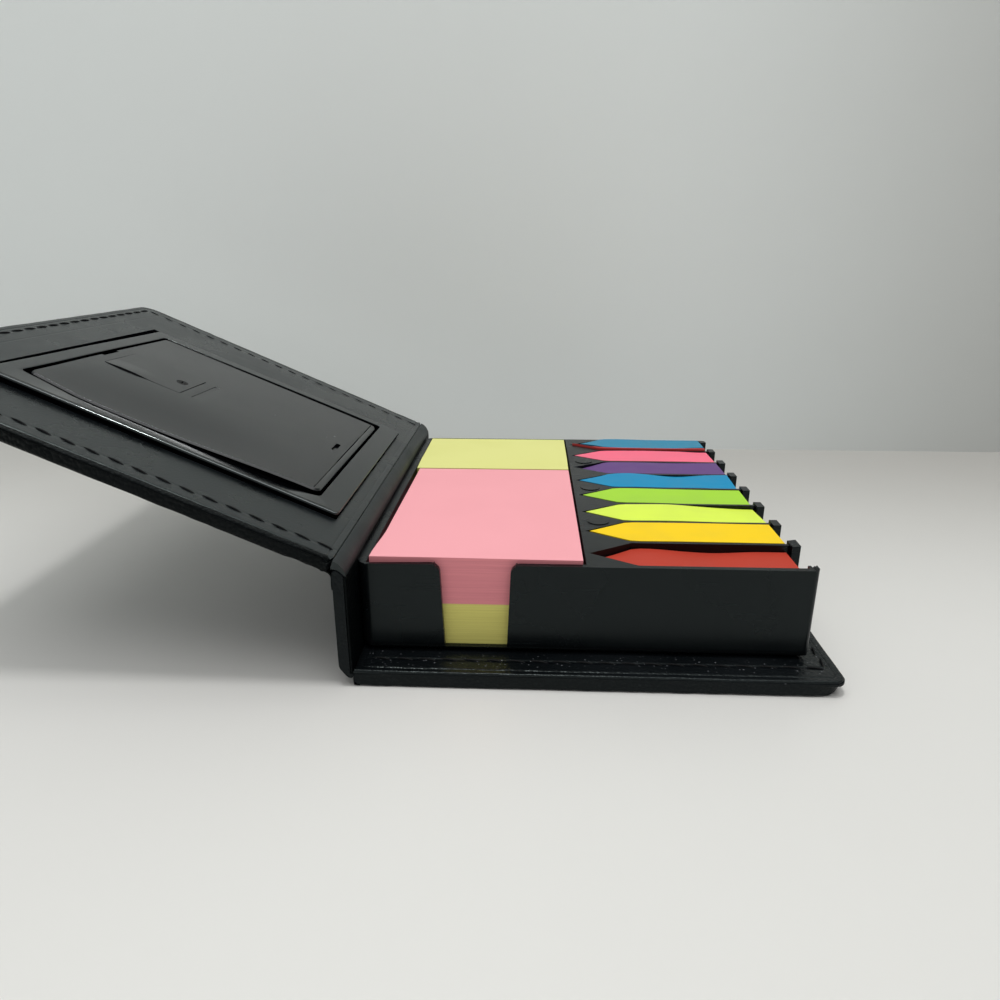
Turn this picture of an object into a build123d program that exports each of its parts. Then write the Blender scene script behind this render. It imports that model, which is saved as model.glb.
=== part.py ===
from build123d import *
from math import cos, radians, sin
import os

# Sticky note organizer: a leatherette cover with a base, a spine and a lid, a plastic tray of note pads
# and arrow flags on the base, and a small clock let into the lid.
# Millimetres. The origin is the centre of the base's underside, X to the flag side, Y to the back, Z up.

# Cover panels
front_margin = 9.75
back_margin = 5.25
flag_margin = 6.0
base_thickness = 4.0
lid_thickness = 3.6
spine_thickness = 3.4
spine_foot_height = 3.3
spine_rise = 1.4
panel_corner_radius = 5.0
skin_thickness = 0.7
lining_thickness = 0.6
board_clearance = 0.1
edge_bevel = 0.5
fold_foot_height = 0.7

# Fold of the lid
lid_lean_angle = 23.3
hinge_inset = 1.6
hinge_rise = 1.2
hinge_depth_in_lid = 0.46
lid_stop_clearance = 0.3
strip_thickness = 0.6
strip_clearance = 0.1
strip_lap = 4.0

# Stitching
stitch_pitch = 5.3
stitch_length = 3.7
stitch_width = 0.6
stitch_height = 0.25
front_stitch_inset = 6.0
side_stitch_inset = 3.2
lid_end_stitch_inset = 5.8
lid_free_stitch_inset = 3.6

# Tray
tray_height = 23.3
tray_floor = 1.4
tray_end_wall = 1.5
tray_left_wall = 2.0
tray_corner_radius = 3.0
tray_foot_radius = 2.5
tray_end_radius = 1.5
hollow_wall = 3.0
slot_floor_thickness = 1.2
well_wall = 1.2
notch_top_width = 17.0
notch_foot_width = 15.2
notch_lip_radius = 2.3
mark_radius = 3.0
mark_depth = 0.2
mark_inset = 5.2
cut_overrun = 1.0

# Note pads
pad_width = 51.0
front_pad_length = 76.0
rear_pad_length = 38.0
pad_side_clearance = 0.8
pad_end_clearance = 0.3
pad_gap = 1.0
lower_pad_thickness = 10.8
upper_pad_thickness = 12.2

# Arrow flags and their slots
flag_count = 8
flag_length = 48.6
flag_width = 13.4
flag_tip_length = 10.3
flag_side_clearance = 0.3
flag_tip_clearance = 1.2
flag_end_clearance = 0.9
full_flag_thickness = 4.0
low_flag_thickness = 2.2
divider_thickness = 1.0
post_width = 4.2
post_depth = 2.1
post_rise = 0.3

# Clock in the lid
module_front_shift = 1.65
module_strip_gap = 0.82
bezel_stitch_gap = 1.0
cover_length = 76.0
cover_width = 72.4
cover_thickness = 1.4
cover_bevel = 0.5
cover_corner_radius = 2.0
recess_gap = 2.3
bezel_border = 7.0
bezel_rise = 1.6
bezel_edge_radius = 0.7
bezel_corner_radius = 3.0
bezel_lap = 5.0
shell_face = 1.2
shell_wall = 1.2
shell_corner_radius = 5.0
shell_cover_inset = 0.4
shell_top_rise = 0.1

# Battery door, screw and cell
door_length = 22.2
door_width = 18.3
door_thickness = 1.0
door_clearance = 0.2
door_free_inset = 4.3
door_corner_radius = 1.0
door_screw_inset = 3.4
screw_radius = 0.8
screw_head_radius = 1.6
screw_head_height = 0.6
screw_length = 1.8
screw_clearance = 0.05
boss_radius = 2.0
boss_floor = 0.4
cell_radius = 5.8
cell_height = 3.05
cell_clearance = 0.4
cell_door_gap = 0.2
cell_display_gap = 0.5
cell_screw_distance = 11.7
contact_thickness = 0.2
contact_width = 3.0
contact_reach = 3.0
contact_clearance = 0.05
latch_slot_length = 7.0
latch_slot_width = 1.4
latch_slot_inset = 3.7
latch_slot_depth = 0.8
finger_notch_length = 8.0
finger_notch_depth = 1.2

# Display, board and buttons
lens_length = 60.0
lens_width = 38.0
lens_thickness = 0.8
lens_ledge = 4.0
lens_clearance = 0.1
lens_corner_radius = 2.0
display_back_share = 0.345
lcd_length = 56.0
lcd_width = 34.0
lcd_thickness = 1.1
connector_width = 2.0
connector_height = 0.9
connector_end_gap = 9.0
board_thickness = 0.8
board_margin = 0.8
board_screw_inset = 4.0
board_screw_length = 2.2
board_screw_hole_clearance = 0.2
button_count = 4
button_pitch = 13.0
button_radius = 2.9
button_clearance = 0.15
button_flange = 0.8
button_flange_thickness = 0.6
button_proud = 0.6
button_stem_radius = 1.2
button_travel = 0.5
button_spare_gap = 0.05
button_front_share = 0.248
switch_radius = 1.8
switch_height = 0.3

# The tray is as deep as the flags or the pads need, and the base follows the tray and the clock in the lid
slot_width_across = flag_width + 2 * flag_side_clearance
flags_room = flag_count * (slot_width_across + divider_thickness) - divider_thickness
pads_room = front_pad_length + pad_gap + rear_pad_length + 2 * pad_end_clearance
inner_depth = max(flags_room, pads_room)
slot_step = (inner_depth - slot_width_across) / (flag_count - 1)
tray_depth = inner_depth + 2 * tray_end_wall
well_length = pad_width + 2 * pad_side_clearance
slot_room = flag_tip_clearance + flag_length + flag_end_clearance
tray_width = tray_left_wall + well_length + well_wall + slot_room + post_depth
recess_length = cover_length + 2 * recess_gap
recess_width = cover_width + 2 * recess_gap
bezel_length = recess_length + 2 * bezel_border
bezel_width = recess_width + 2 * bezel_border
module_start = strip_lap + module_strip_gap
clock_room = module_start + bezel_length + bezel_stitch_gap + lid_free_stitch_inset
base_width = max(tray_width + flag_margin, clock_room)
base_depth = front_margin + tray_depth + back_margin

# Places that several pieces share
base_left = -base_width / 2
base_right = base_width / 2
base_front = -base_depth / 2
base_back = base_depth / 2
tray_left = base_left
tray_front = base_front + front_margin
tray_back = tray_front + tray_depth
tray_bottom = base_thickness
tray_top = tray_bottom + tray_height
floor_top = tray_bottom + tray_floor
well_left = tray_left + tray_left_wall
well_right = well_left + well_length
slot_tip = well_right + well_wall
slot_tip_length = flag_tip_length + flag_tip_clearance - flag_end_clearance / 2
slot_shoulder = slot_tip + slot_tip_length
slot_end = slot_tip + slot_room
tray_right = slot_end + post_depth
slot_floor = tray_top - full_flag_thickness
pad_centre_x = (well_left + well_right) / 2
front_pad_front = tray_front + tray_end_wall + pad_end_clearance
rear_pad_front = front_pad_front + front_pad_length + pad_gap
split_height = floor_top + lower_pad_thickness
pads_top = split_height + upper_pad_thickness
spine_top_height = max(tray_top, pads_top) + spine_rise
spine_left = base_left - spine_thickness

# The lid is drawn flat in its own frame: x away from the hinge, y to the front, z out of its inner face
hinge_x = base_left - hinge_inset
hinge_z = spine_top_height + hinge_rise
lean = radians(lid_lean_angle)
lid_along = (-cos(lean), 0, sin(lean))
lid_out = (sin(lean), 0, cos(lean))
lid_origin = (hinge_x + hinge_depth_in_lid * sin(lean), 0, hinge_z + hinge_depth_in_lid * cos(lean))
lid_frame = Plane(origin=lid_origin, x_dir=lid_along, z_dir=lid_out)
spine_corner_along = (hinge_x - spine_left) * cos(lean) - hinge_rise * sin(lean)
lid_near = spine_corner_along + lid_stop_clearance
lid_far = lid_near + base_width
lid_outer = -lid_thickness
shell_length = cover_length - 2 * shell_cover_inset
shell_width = cover_width - 2 * shell_cover_inset
module_x = lid_near + module_start + bezel_length / 2
module_y = module_front_shift
window_length = bezel_length - 2 * bezel_lap
window_width = bezel_width - 2 * bezel_lap
cover_foot = shell_top_rise
cover_top = cover_foot + cover_thickness
door_foot = cover_top - door_thickness
cell_top = door_foot - cell_door_gap
cell_foot = cell_top - cell_height
leaf_top = cell_foot - contact_clearance
leaf_foot = leaf_top - contact_thickness
lcd_top = leaf_foot - cell_display_gap
face_inside = lcd_top - lcd_thickness
face_outside = face_inside - shell_face
board_foot = lcd_top + connector_height
board_top = board_foot + board_thickness
door_x = module_x + cover_length / 2 - door_free_inset - door_length / 2
screw_x = door_x - door_length / 2 + door_screw_inset
cell_x = screw_x + cell_screw_distance
cavity_length = shell_length - 2 * shell_wall
cavity_width = shell_width - 2 * shell_wall
flange_radius = button_radius + button_flange
face_room = cavity_width - lcd_width - 2 * flange_radius
display_y = module_y - cavity_width / 2 + display_back_share * face_room + lcd_width / 2
buttons_y = module_y + cavity_width / 2 - button_front_share * face_room - flange_radius


def block(x_span, y_span, z_span):
    low = Vector(x_span[0], y_span[0], z_span[0])
    high = Vector(x_span[1], y_span[1], z_span[1])
    size = high - low
    return Pos(low + size * 0.5) * Box(size.X, size.Y, size.Z)


def plate(x, y, length, width, radius, z_span):
    outline = Pos(x, y, z_span[0]) * RectangleRounded(length, width, radius)
    return extrude(outline, z_span[1] - z_span[0])


def disc(x, y, radius, z_span):
    outline = Pos(x, y, z_span[0]) * Circle(radius)
    return extrude(outline, z_span[1] - z_span[0])


# A panel's outline, with its two corners on the +X side rounded
def panel_outline(x_span, half_depth, radius, z):
    length = x_span[1] - x_span[0]
    sheet = Rectangle(length, 2 * half_depth)
    far_corners = sheet.vertices().group_by(Axis.X)[-1]
    sheet = fillet(far_corners, radius)
    return Pos((x_span[0] + x_span[1]) / 2, 0, z) * sheet


# Cover, board and lining of a flat panel that is lined on its upper side
def panel_layers(x_span, half_depth, z_span, bevel):
    split = z_span[1] - lining_thickness
    outline = panel_outline(x_span, half_depth, panel_corner_radius, z_span[0])
    cover = extrude(outline, split - z_span[0])
    cover = chamfer(cover.faces().sort_by(Axis.Z)[0].edges(), bevel)
    inner_span = (x_span[0] + skin_thickness, x_span[1] - skin_thickness)
    inner_depth = half_depth - skin_thickness
    inner_radius = panel_corner_radius - skin_thickness
    pocket_foot = z_span[0] + skin_thickness
    pocket = panel_outline(inner_span, inner_depth, inner_radius, pocket_foot)
    cover -= extrude(pocket, split - pocket_foot)
    board_span = (inner_span[0] + board_clearance, inner_span[1] - board_clearance)
    board_outline = panel_outline(
        board_span, inner_depth - board_clearance, inner_radius - board_clearance, pocket_foot
    )
    board = extrude(board_outline, split - pocket_foot)
    lining_outline = panel_outline(x_span, half_depth, panel_corner_radius, split)
    lining = extrude(lining_outline, lining_thickness)
    return cover, board, lining


# A row of stitches from one point to another, spaced evenly
def stitch_row(start, finish, z):
    run = Vector(*finish) - Vector(*start)
    count = int(run.length / stitch_pitch)
    angle = 90 if abs(run.Y) > abs(run.X) else 0
    row = []
    for index in range(count):
        middle = Vector(*start) + run * ((index + 0.5) / count)
        outline = Pos(middle.X, middle.Y, z) * Rot(0, 0, angle) * SlotOverall(stitch_length, stitch_width)
        row.append(extrude(outline, stitch_height))
    return row


def base_stitches():
    left = base_left + side_stitch_inset
    right = base_right - side_stitch_inset
    front = base_front + front_stitch_inset
    back = base_back - side_stitch_inset
    row = stitch_row((left, front), (right, front), base_thickness)
    row += stitch_row((right, front), (right, back), base_thickness)
    row += stitch_row((left, back), (right, back), base_thickness)
    return Compound(row)


def lid_stitches():
    near = lid_near + lid_free_stitch_inset
    free = lid_far - lid_free_stitch_inset
    side = base_back - lid_end_stitch_inset
    row = stitch_row((near, side), (free, side), 0)
    row += stitch_row((free, -side), (free, side), 0)
    row += stitch_row((near, -side), (free, -side), 0)
    return Compound(row)


# An outline in the XZ plane, drawn along the whole depth of the cover
def along_depth(points, half_depth):
    face = make_face(Polyline(*[(x, -half_depth, z) for x, z in points], close=True))
    return extrude(face, 2 * half_depth, dir=(0, 1, 0))


def spine_layers():
    lining_left = base_left - lining_thickness
    heights = (spine_foot_height, spine_top_height)
    cover = block((spine_left, lining_left), (base_front, base_back), heights)
    pocket_heights = (heights[0] + skin_thickness, heights[1] - skin_thickness)
    ends = (base_front + skin_thickness, base_back - skin_thickness)
    cover -= block((spine_left + skin_thickness, lining_left), ends, pocket_heights)
    fold = [(spine_left, spine_foot_height), (base_left, spine_foot_height), (base_left, fold_foot_height)]
    cover += along_depth(fold, base_back)
    board_heights = (pocket_heights[0] + board_clearance, pocket_heights[1] - board_clearance)
    board_ends = (ends[0] + board_clearance, ends[1] - board_clearance)
    board = block((spine_left + skin_thickness, lining_left), board_ends, board_heights)
    lining = block((lining_left, base_left), (base_front, base_back), heights)
    return cover, board, lining


# A point of the lid's frame, as x and z of the part's frame
def lid_point(along, out):
    x = lid_origin[0] + along * lid_along[0] + out * lid_out[0]
    z = lid_origin[2] + along * lid_along[2] + out * lid_out[2]
    return x, z


# Inside strip of the fold: from the lid's lining, over the spine's top, to the tray's side
def hinge_lining():
    seat = spine_top_height + strip_clearance
    lid_end = lid_near - strip_clearance
    points = [
        lid_point(lid_end, 0),
        (base_left, seat + strip_thickness),
        (base_left, seat),
        lid_point(lid_end, -strip_thickness),
    ]
    return along_depth(points, base_back)


# Outside strip of the fold: up the spine's outer face and out along the lid's outer face
def hinge_cover():
    outside = lid_outer - strip_clearance
    inner_x = spine_left - strip_clearance
    crook_x, crook_z = lid_point(lid_near, outside)
    outer_x, outer_z = lid_point(lid_near, outside - strip_thickness)
    points = [
        (inner_x, crook_z - strip_lap),
        (inner_x, crook_z),
        (min(crook_x, inner_x), crook_z),
        lid_point(lid_near + strip_lap, outside),
        lid_point(lid_near + strip_lap, outside - strip_thickness),
        (min(outer_x, inner_x - strip_thickness), outer_z),
        (inner_x - strip_thickness, crook_z - strip_lap),
    ]
    return along_depth(points, base_back)


def slot_middle(index):
    return tray_front + tray_end_wall + slot_width_across / 2 + index * slot_step


def divider_middle(index):
    return slot_middle(index) + slot_step / 2


# An arrow that points to -X, drawn from its tip, its shoulders and its right end
def arrow(tip, shoulder, end, width, y, z_span):
    half = width / 2
    points = [
        (tip, y, z_span[0]),
        (shoulder, y - half, z_span[0]),
        (end, y - half, z_span[0]),
        (end, y + half, z_span[0]),
        (shoulder, y + half, z_span[0]),
    ]
    face = make_face(Polyline(*points, close=True))
    return extrude(face, z_span[1] - z_span[0], dir=(0, 0, 1))


def flag(index, z_span):
    tip = slot_tip + flag_tip_clearance
    shoulder = tip + flag_tip_length
    return arrow(tip, shoulder, tip + flag_length, flag_width, slot_middle(index), z_span)


# What is cut away to round the tray's right end at its front or its back
def end_corner(y, inward):
    centre_x = tray_right - tray_end_radius
    centre_y = y + inward * tray_end_radius
    heights = (tray_bottom - cut_overrun, tray_top + cut_overrun)
    outside_y = y - inward * cut_overrun
    across = (min(outside_y, centre_y), max(outside_y, centre_y))
    corner = block((centre_x, tray_right + cut_overrun), across, heights)
    return corner - disc(centre_x, centre_y, tray_end_radius, heights)


def note_tray():
    open_top = tray_top + cut_overrun
    below = tray_bottom - cut_overrun
    tray = block((tray_left, tray_right), (tray_front, tray_back), (tray_bottom, tray_top))
    tray = fillet(tray.edges().filter_by(Axis.Z).group_by(Axis.X)[0], tray_corner_radius)
    feet = tray.edges().group_by(Axis.Z)[0]
    tray = fillet(feet - feet.filter_by(Axis.Y).sort_by(Axis.X)[-1:], tray_foot_radius)
    tray -= end_corner(tray_front, 1)
    tray -= end_corner(tray_back, -1)
    gap_half = (slot_step - post_width) / 2
    for index in range(flag_count):
        middle = slot_middle(index)
        slot_heights = (slot_floor, open_top)
        tray -= arrow(slot_tip, slot_shoulder, slot_end, slot_width_across, middle, slot_heights)
        gap_span = (slot_end, tray_right + cut_overrun)
        tray -= block(gap_span, (middle - gap_half, middle + gap_half), (below, open_top))
    for index in range(flag_count - 1):
        middle = divider_middle(index)
        post_ends = (middle - post_width / 2, middle + post_width / 2)
        tray += block((slot_end, tray_right), post_ends, (tray_top, tray_top + post_rise))
    inner_ends = (tray_front + tray_end_wall, tray_back - tray_end_wall)
    tray -= block((well_left, well_right), inner_ends, (floor_top, open_top))
    for index in range(1, flag_count - 1, 2):
        mark_heights = (tray_top - mark_depth, open_top)
        tray -= disc(well_right + mark_inset, divider_middle(index), mark_radius, mark_heights)
    hollow_span = (well_right + well_wall, slot_end - tray_end_wall)
    hollow_ends = (tray_front + hollow_wall, tray_back - hollow_wall)
    tray -= block(hollow_span, hollow_ends, (below, slot_floor - slot_floor_thickness))
    return notched(tray)


# The thumb notch in the front wall, with its two top corners rounded off
def notched(tray):
    top = tray_top + cut_overrun
    spread = (notch_top_width - notch_foot_width) / 2 / (tray_top - floor_top)
    top_half = notch_foot_width / 2 + spread * (top - floor_top)
    foot_half = notch_foot_width / 2
    front = tray_front - cut_overrun
    points = [
        (pad_centre_x - top_half, front, top),
        (pad_centre_x - foot_half, front, floor_top),
        (pad_centre_x + foot_half, front, floor_top),
        (pad_centre_x + top_half, front, top),
    ]
    face = make_face(Polyline(*points, close=True))
    tray -= extrude(face, tray_end_wall + cut_overrun, dir=(0, 1, 0))
    lips = []
    for edge in tray.edges().filter_by(Axis.Y):
        place = edge.center()
        on_rim = abs(place.Z - tray_top) < notch_lip_radius
        beside = abs(abs(place.X - pad_centre_x) - notch_top_width / 2) < notch_lip_radius
        if on_rim and beside and place.Y < front_pad_front:
            lips.append(edge)
    return fillet(lips, notch_lip_radius)


def pad(front, length, z_span):
    half = pad_width / 2
    return block((pad_centre_x - half, pad_centre_x + half), (front, front + length), z_span)


def rear_bezel():
    middle = module_x
    ring = plate(middle, module_y, bezel_length, bezel_width, bezel_corner_radius, (0, bezel_rise))
    ring = fillet(ring.faces().sort_by(Axis.Z)[-1].edges(), bezel_edge_radius)
    recess = (-cut_overrun, bezel_rise + cut_overrun)
    return ring - plate(middle, module_y, recess_length, recess_width, cover_corner_radius, recess)


def front_shell():
    middle = module_x
    flange = (face_outside, lid_outer)
    walls = (face_inside, cover_foot)
    shell = plate(middle, module_y, bezel_length, bezel_width, shell_corner_radius, flange)
    shell += plate(middle, module_y, shell_length, shell_width, cover_corner_radius, walls)
    cavity = (face_inside, cover_foot + cut_overrun)
    shell -= plate(middle, module_y, cavity_length, cavity_width, cover_corner_radius / 2, cavity)
    seat = face_outside + lens_thickness
    lens_room = 2 * lens_clearance
    pocket = (face_outside - cut_overrun, seat)
    shell -= plate(
        middle, display_y, lens_length + lens_room, lens_width + lens_room, lens_corner_radius, pocket
    )
    view = (seat - cut_overrun, face_inside + cut_overrun)
    view_length = lens_length - 2 * lens_ledge
    view_width = lens_width - 2 * lens_ledge
    shell -= plate(middle, display_y, view_length, view_width, lens_corner_radius, view)
    through = (face_outside - cut_overrun, face_inside + cut_overrun)
    for x in button_places():
        shell -= disc(x, buttons_y, button_radius + button_clearance, through)
    for x, y in board_screw_places():
        shell += disc(x, y, boss_radius, (face_inside, board_foot))
        bore = (board_top - board_screw_length - screw_clearance, board_foot + cut_overrun)
        shell -= disc(x, y, screw_radius + screw_clearance, bore)
    return shell


def button_places():
    first = module_x - button_pitch * (button_count - 1) / 2
    return [first + button_pitch * index for index in range(button_count)]


def board_screw_places():
    half_length = cavity_length / 2 - board_screw_inset
    half_width = cavity_width / 2 - board_screw_inset
    sides = (-1, 1)
    return [
        (module_x + side * half_length, module_y + end * half_width)
        for side in sides
        for end in sides
    ]


def clock_lens():
    heights = (face_outside, face_outside + lens_thickness)
    return plate(module_x, display_y, lens_length, lens_width, lens_corner_radius, heights)


def lcd_panel():
    half_length = lcd_length / 2
    half_width = lcd_width / 2
    along = (module_x - half_length, module_x + half_length)
    return block(along, (display_y - half_width, display_y + half_width), (face_inside, lcd_top))


# Two rubber bars that carry the current from the board to the display
def lcd_connectors():
    half_length = lcd_length / 2 - connector_end_gap
    along = (module_x - half_length, module_x + half_length)
    offset = lcd_width / 2 - connector_width
    bars = []
    for side in (-1, 1):
        middle = display_y + side * offset
        across = (middle - connector_width / 2, middle + connector_width / 2)
        bars.append(block(along, across, (lcd_top, board_foot)))
    return Compound(bars)


def circuit_board():
    length = cavity_length - 2 * board_margin
    width = cavity_width - 2 * board_margin
    heights = (board_foot, board_top)
    board = plate(module_x, module_y, length, width, cover_corner_radius / 2, heights)
    through = (board_foot - cut_overrun, board_top + cut_overrun)
    board -= disc(cell_x, module_y, cell_radius + cell_clearance, through)
    for x, y in board_screw_places():
        board -= disc(x, y, screw_radius + board_screw_hole_clearance, through)
    return board


def pan_screw(x, y, head_foot, length):
    head = disc(x, y, screw_head_radius, (head_foot, head_foot + screw_head_height))
    shank = disc(x, y, screw_radius, (head_foot - length, head_foot))
    drive_slot = screw_head_height / 2
    slot_heights = (head_foot + drive_slot, head_foot + screw_head_height + cut_overrun)
    drive_along = (x - screw_head_radius, x + screw_head_radius)
    drive_across = (y - drive_slot / 2, y + drive_slot / 2)
    return head + shank - block(drive_along, drive_across, slot_heights)


def board_screws():
    return Compound([pan_screw(x, y, board_top, board_screw_length) for x, y in board_screw_places()])


def switches():
    foot = board_foot - switch_height
    return Compound([disc(x, buttons_y, switch_radius, (foot, board_foot)) for x in button_places()])


def set_button(x):
    stem_end = board_foot - switch_height - button_travel - button_spare_gap
    flange_top = face_inside + button_flange_thickness
    cap = disc(x, buttons_y, button_radius, (face_outside - button_proud, face_inside))
    flange = disc(x, buttons_y, flange_radius, (face_inside, flange_top))
    return cap + flange + disc(x, buttons_y, button_stem_radius, (flange_top, stem_end))


def coin_cell():
    return disc(cell_x, module_y, cell_radius, (cell_foot, cell_top))


# Leaf under the cell, soldered to the board's underside beside the cell's hole
def lower_contact():
    half = contact_width / 2
    across = (module_y - half, module_y + half)
    hole_edge = cell_x - cell_radius - cell_clearance
    leaf = block((hole_edge - contact_reach, cell_x), across, (leaf_foot, leaf_top))
    tab = block((hole_edge - contact_reach, hole_edge), across, (leaf_foot, board_foot))
    return leaf + tab


# Angle that stands on the board and presses on the cell's rim
def side_contact():
    half = contact_width / 2
    rim = module_y - cell_radius - contact_clearance
    foot_end = rim - cell_clearance - contact_reach
    across = (cell_x - half, cell_x + half)
    upright = block(across, (rim - contact_thickness, rim), (board_top, cell_top - contact_thickness))
    foot = block(across, (foot_end, rim), (board_top, board_top + contact_thickness))
    return upright + foot


def rear_cover():
    middle = module_x
    heights = (cover_foot, cover_top)
    cover = plate(middle, module_y, cover_length, cover_width, cover_corner_radius, heights)
    cover = chamfer(cover.faces().sort_by(Axis.Z)[-1].edges(), cover_bevel)
    room = 2 * door_clearance
    pocket = (door_foot, cover_top + cut_overrun)
    cover -= plate(door_x, module_y, door_length + room, door_width + room, door_corner_radius, pocket)
    through = (cover_foot - cut_overrun, cover_top)
    cover -= disc(cell_x, module_y, cell_radius + cell_clearance, through)
    latch_place = Pos(middle - cover_length / 2 + latch_slot_inset, module_y, cover_top - latch_slot_depth)
    latch_slot = latch_place * Rot(0, 0, 90) * SlotOverall(latch_slot_length, latch_slot_width)
    cover -= extrude(latch_slot, latch_slot_depth + cut_overrun)
    free_edge = middle + cover_length / 2
    half_notch = finger_notch_length / 2
    notch_along = (free_edge - finger_notch_depth, free_edge + cut_overrun)
    notch_heights = (cover_foot - cut_overrun, cover_top + cut_overrun)
    cover -= block(notch_along, (module_y - half_notch, module_y + half_notch), notch_heights)
    shank_end = cover_top - screw_head_height - screw_length
    boss_heights = (shank_end - boss_floor, door_foot)
    cover += disc(screw_x, module_y, boss_radius, boss_heights)
    bore = (shank_end - screw_clearance, door_foot + cut_overrun)
    return cover - disc(screw_x, module_y, screw_radius + screw_clearance, bore)


def battery_door():
    heights = (door_foot, cover_top)
    door = plate(door_x, module_y, door_length, door_width, door_corner_radius, heights)
    through = (door_foot - cut_overrun, cover_top + cut_overrun)
    door -= disc(screw_x, module_y, screw_radius + screw_clearance, through)
    head_seat = (cover_top - screw_head_height, cover_top + cut_overrun)
    return door - disc(screw_x, module_y, screw_head_radius + screw_clearance, head_seat)


def windowed(layer):
    heights = (lid_outer - cut_overrun, cut_overrun)
    window = plate(
        module_x, module_y, window_length, window_width, bezel_corner_radius, heights
    )
    return layer - window


parts = {}

base_layers = panel_layers((base_left, base_right), base_back, (0, base_thickness), edge_bevel)
parts["base_cover"], parts["base_board"], parts["base_lining"] = base_layers
parts["base_stitching"] = base_stitches()
parts["spine_cover"], parts["spine_board"], parts["spine_lining"] = spine_layers()
parts["hinge_lining"] = hinge_lining()
parts["hinge_cover"] = hinge_cover()
parts["note_tray"] = note_tray()

lower_heights = (floor_top, split_height)
upper_heights = (split_height, pads_top)
parts["front_lower_pad"] = pad(front_pad_front, front_pad_length, lower_heights)
parts["front_upper_pad"] = pad(front_pad_front, front_pad_length, upper_heights)
parts["rear_lower_pad"] = pad(rear_pad_front, rear_pad_length, lower_heights)
parts["rear_upper_pad"] = pad(rear_pad_front, rear_pad_length, upper_heights)

low_heights = (slot_floor, slot_floor + low_flag_thickness)
over_heights = (low_heights[1], slot_floor + full_flag_thickness)
full_heights = (slot_floor, slot_floor + full_flag_thickness)
parts["red_flag"] = flag(0, low_heights)
full_flags = ["orange_flag", "lime_flag", "green_flag", "blue_flag", "purple_flag", "pink_flag"]
for index, name in enumerate(full_flags, start=1):
    parts[name] = flag(index, full_heights)
parts["far_red_flag"] = flag(flag_count - 1, low_heights)
parts["far_blue_flag"] = flag(flag_count - 1, over_heights)

lid_layers = panel_layers((lid_near, lid_far), base_back, (lid_outer, 0), edge_bevel)
lid_parts = dict(zip(["lid_cover", "lid_board", "lid_lining"], [windowed(layer) for layer in lid_layers]))
lid_parts["lid_stitching"] = lid_stitches()
lid_parts["rear_bezel"] = rear_bezel()
lid_parts["front_shell"] = front_shell()
lid_parts["clock_lens"] = clock_lens()
lid_parts["lcd_panel"] = lcd_panel()
lid_parts["lcd_connectors"] = lcd_connectors()
lid_parts["circuit_board"] = circuit_board()
lid_parts["board_screws"] = board_screws()
lid_parts["button_switches"] = switches()
for number, x in enumerate(button_places(), start=1):
    lid_parts["set_button_" + str(number)] = set_button(x)
lid_parts["coin_cell"] = coin_cell()
lid_parts["lower_contact"] = lower_contact()
lid_parts["side_contact"] = side_contact()
lid_parts["rear_cover"] = rear_cover()
lid_parts["battery_door"] = battery_door()
lid_parts["door_screw"] = pan_screw(screw_x, module_y, cover_top - screw_head_height, screw_length)
for name, piece in lid_parts.items():
    parts[name] = lid_frame * piece

os.makedirs("parts", exist_ok=True)
for name, piece in parts.items():
    export_step(piece, os.path.join("parts", name + ".step"))
print("wrote", len(parts), "pieces")
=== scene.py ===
import math
import bpy
from mathutils import Matrix, Vector, noise


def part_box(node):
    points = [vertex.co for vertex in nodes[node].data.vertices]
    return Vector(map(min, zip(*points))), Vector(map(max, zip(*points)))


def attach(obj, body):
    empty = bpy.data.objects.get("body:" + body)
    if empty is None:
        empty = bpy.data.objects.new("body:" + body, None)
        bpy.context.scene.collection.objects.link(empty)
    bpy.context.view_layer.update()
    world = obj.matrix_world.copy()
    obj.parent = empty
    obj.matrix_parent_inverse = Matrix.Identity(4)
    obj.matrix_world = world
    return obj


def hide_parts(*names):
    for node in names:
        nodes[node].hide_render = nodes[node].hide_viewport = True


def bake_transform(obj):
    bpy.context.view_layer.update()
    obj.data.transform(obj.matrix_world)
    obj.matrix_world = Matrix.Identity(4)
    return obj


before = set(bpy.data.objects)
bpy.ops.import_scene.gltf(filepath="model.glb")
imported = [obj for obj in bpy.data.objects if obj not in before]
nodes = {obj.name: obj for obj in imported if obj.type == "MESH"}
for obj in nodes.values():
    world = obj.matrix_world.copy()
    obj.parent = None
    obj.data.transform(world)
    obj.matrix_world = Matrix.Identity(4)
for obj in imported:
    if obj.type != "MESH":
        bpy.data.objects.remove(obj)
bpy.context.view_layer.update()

mm = 0.001
slack = 0.01  # in millimetres, for tests of place
print("frame loaded,", len(nodes), "nodes")

# the lid lies flat while it is modelled: x away from the fold, y to the front, z out of its inner face
lid = {
    "hinge": (-58.9, 31.0), "lean": 23.3, "depth": 0.46,
    "near": 1.479, "far": 116.079, "module": (53.599, 1.65),
}
leanAngle = math.radians(lid["lean"])
lidAlong = Vector((-math.cos(leanAngle), 0, math.sin(leanAngle)))
lidOut = Vector((math.sin(leanAngle), 0, math.cos(leanAngle)))
lidOrigin = Vector((lid["hinge"][0], 0, lid["hinge"][1])) * mm + lidOut * lid["depth"] * mm
lidMatrix = Matrix.Translation(lidOrigin) @ Matrix((lidAlong, (0, -1, 0), lidOut)).transposed().to_4x4()
moduleX, moduleY = lid["module"]


def tone(red, green, blue):  # a screen colour, 0 to 255, as the shader wants it
    parts = [channel / 255 for channel in (red, green, blue)]
    return (*[c / 12.92 if c <= 0.04045 else ((c + 0.055) / 1.055) ** 2.4 for c in parts], 1)


def ease(value, low, high):
    share = min(max((value - low) / (high - low), 0), 1)
    return share * share * (3 - 2 * share)


# tests that pick edges by their two ends, or faces by their middle and normal
def everything(first, second):
    return True


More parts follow.
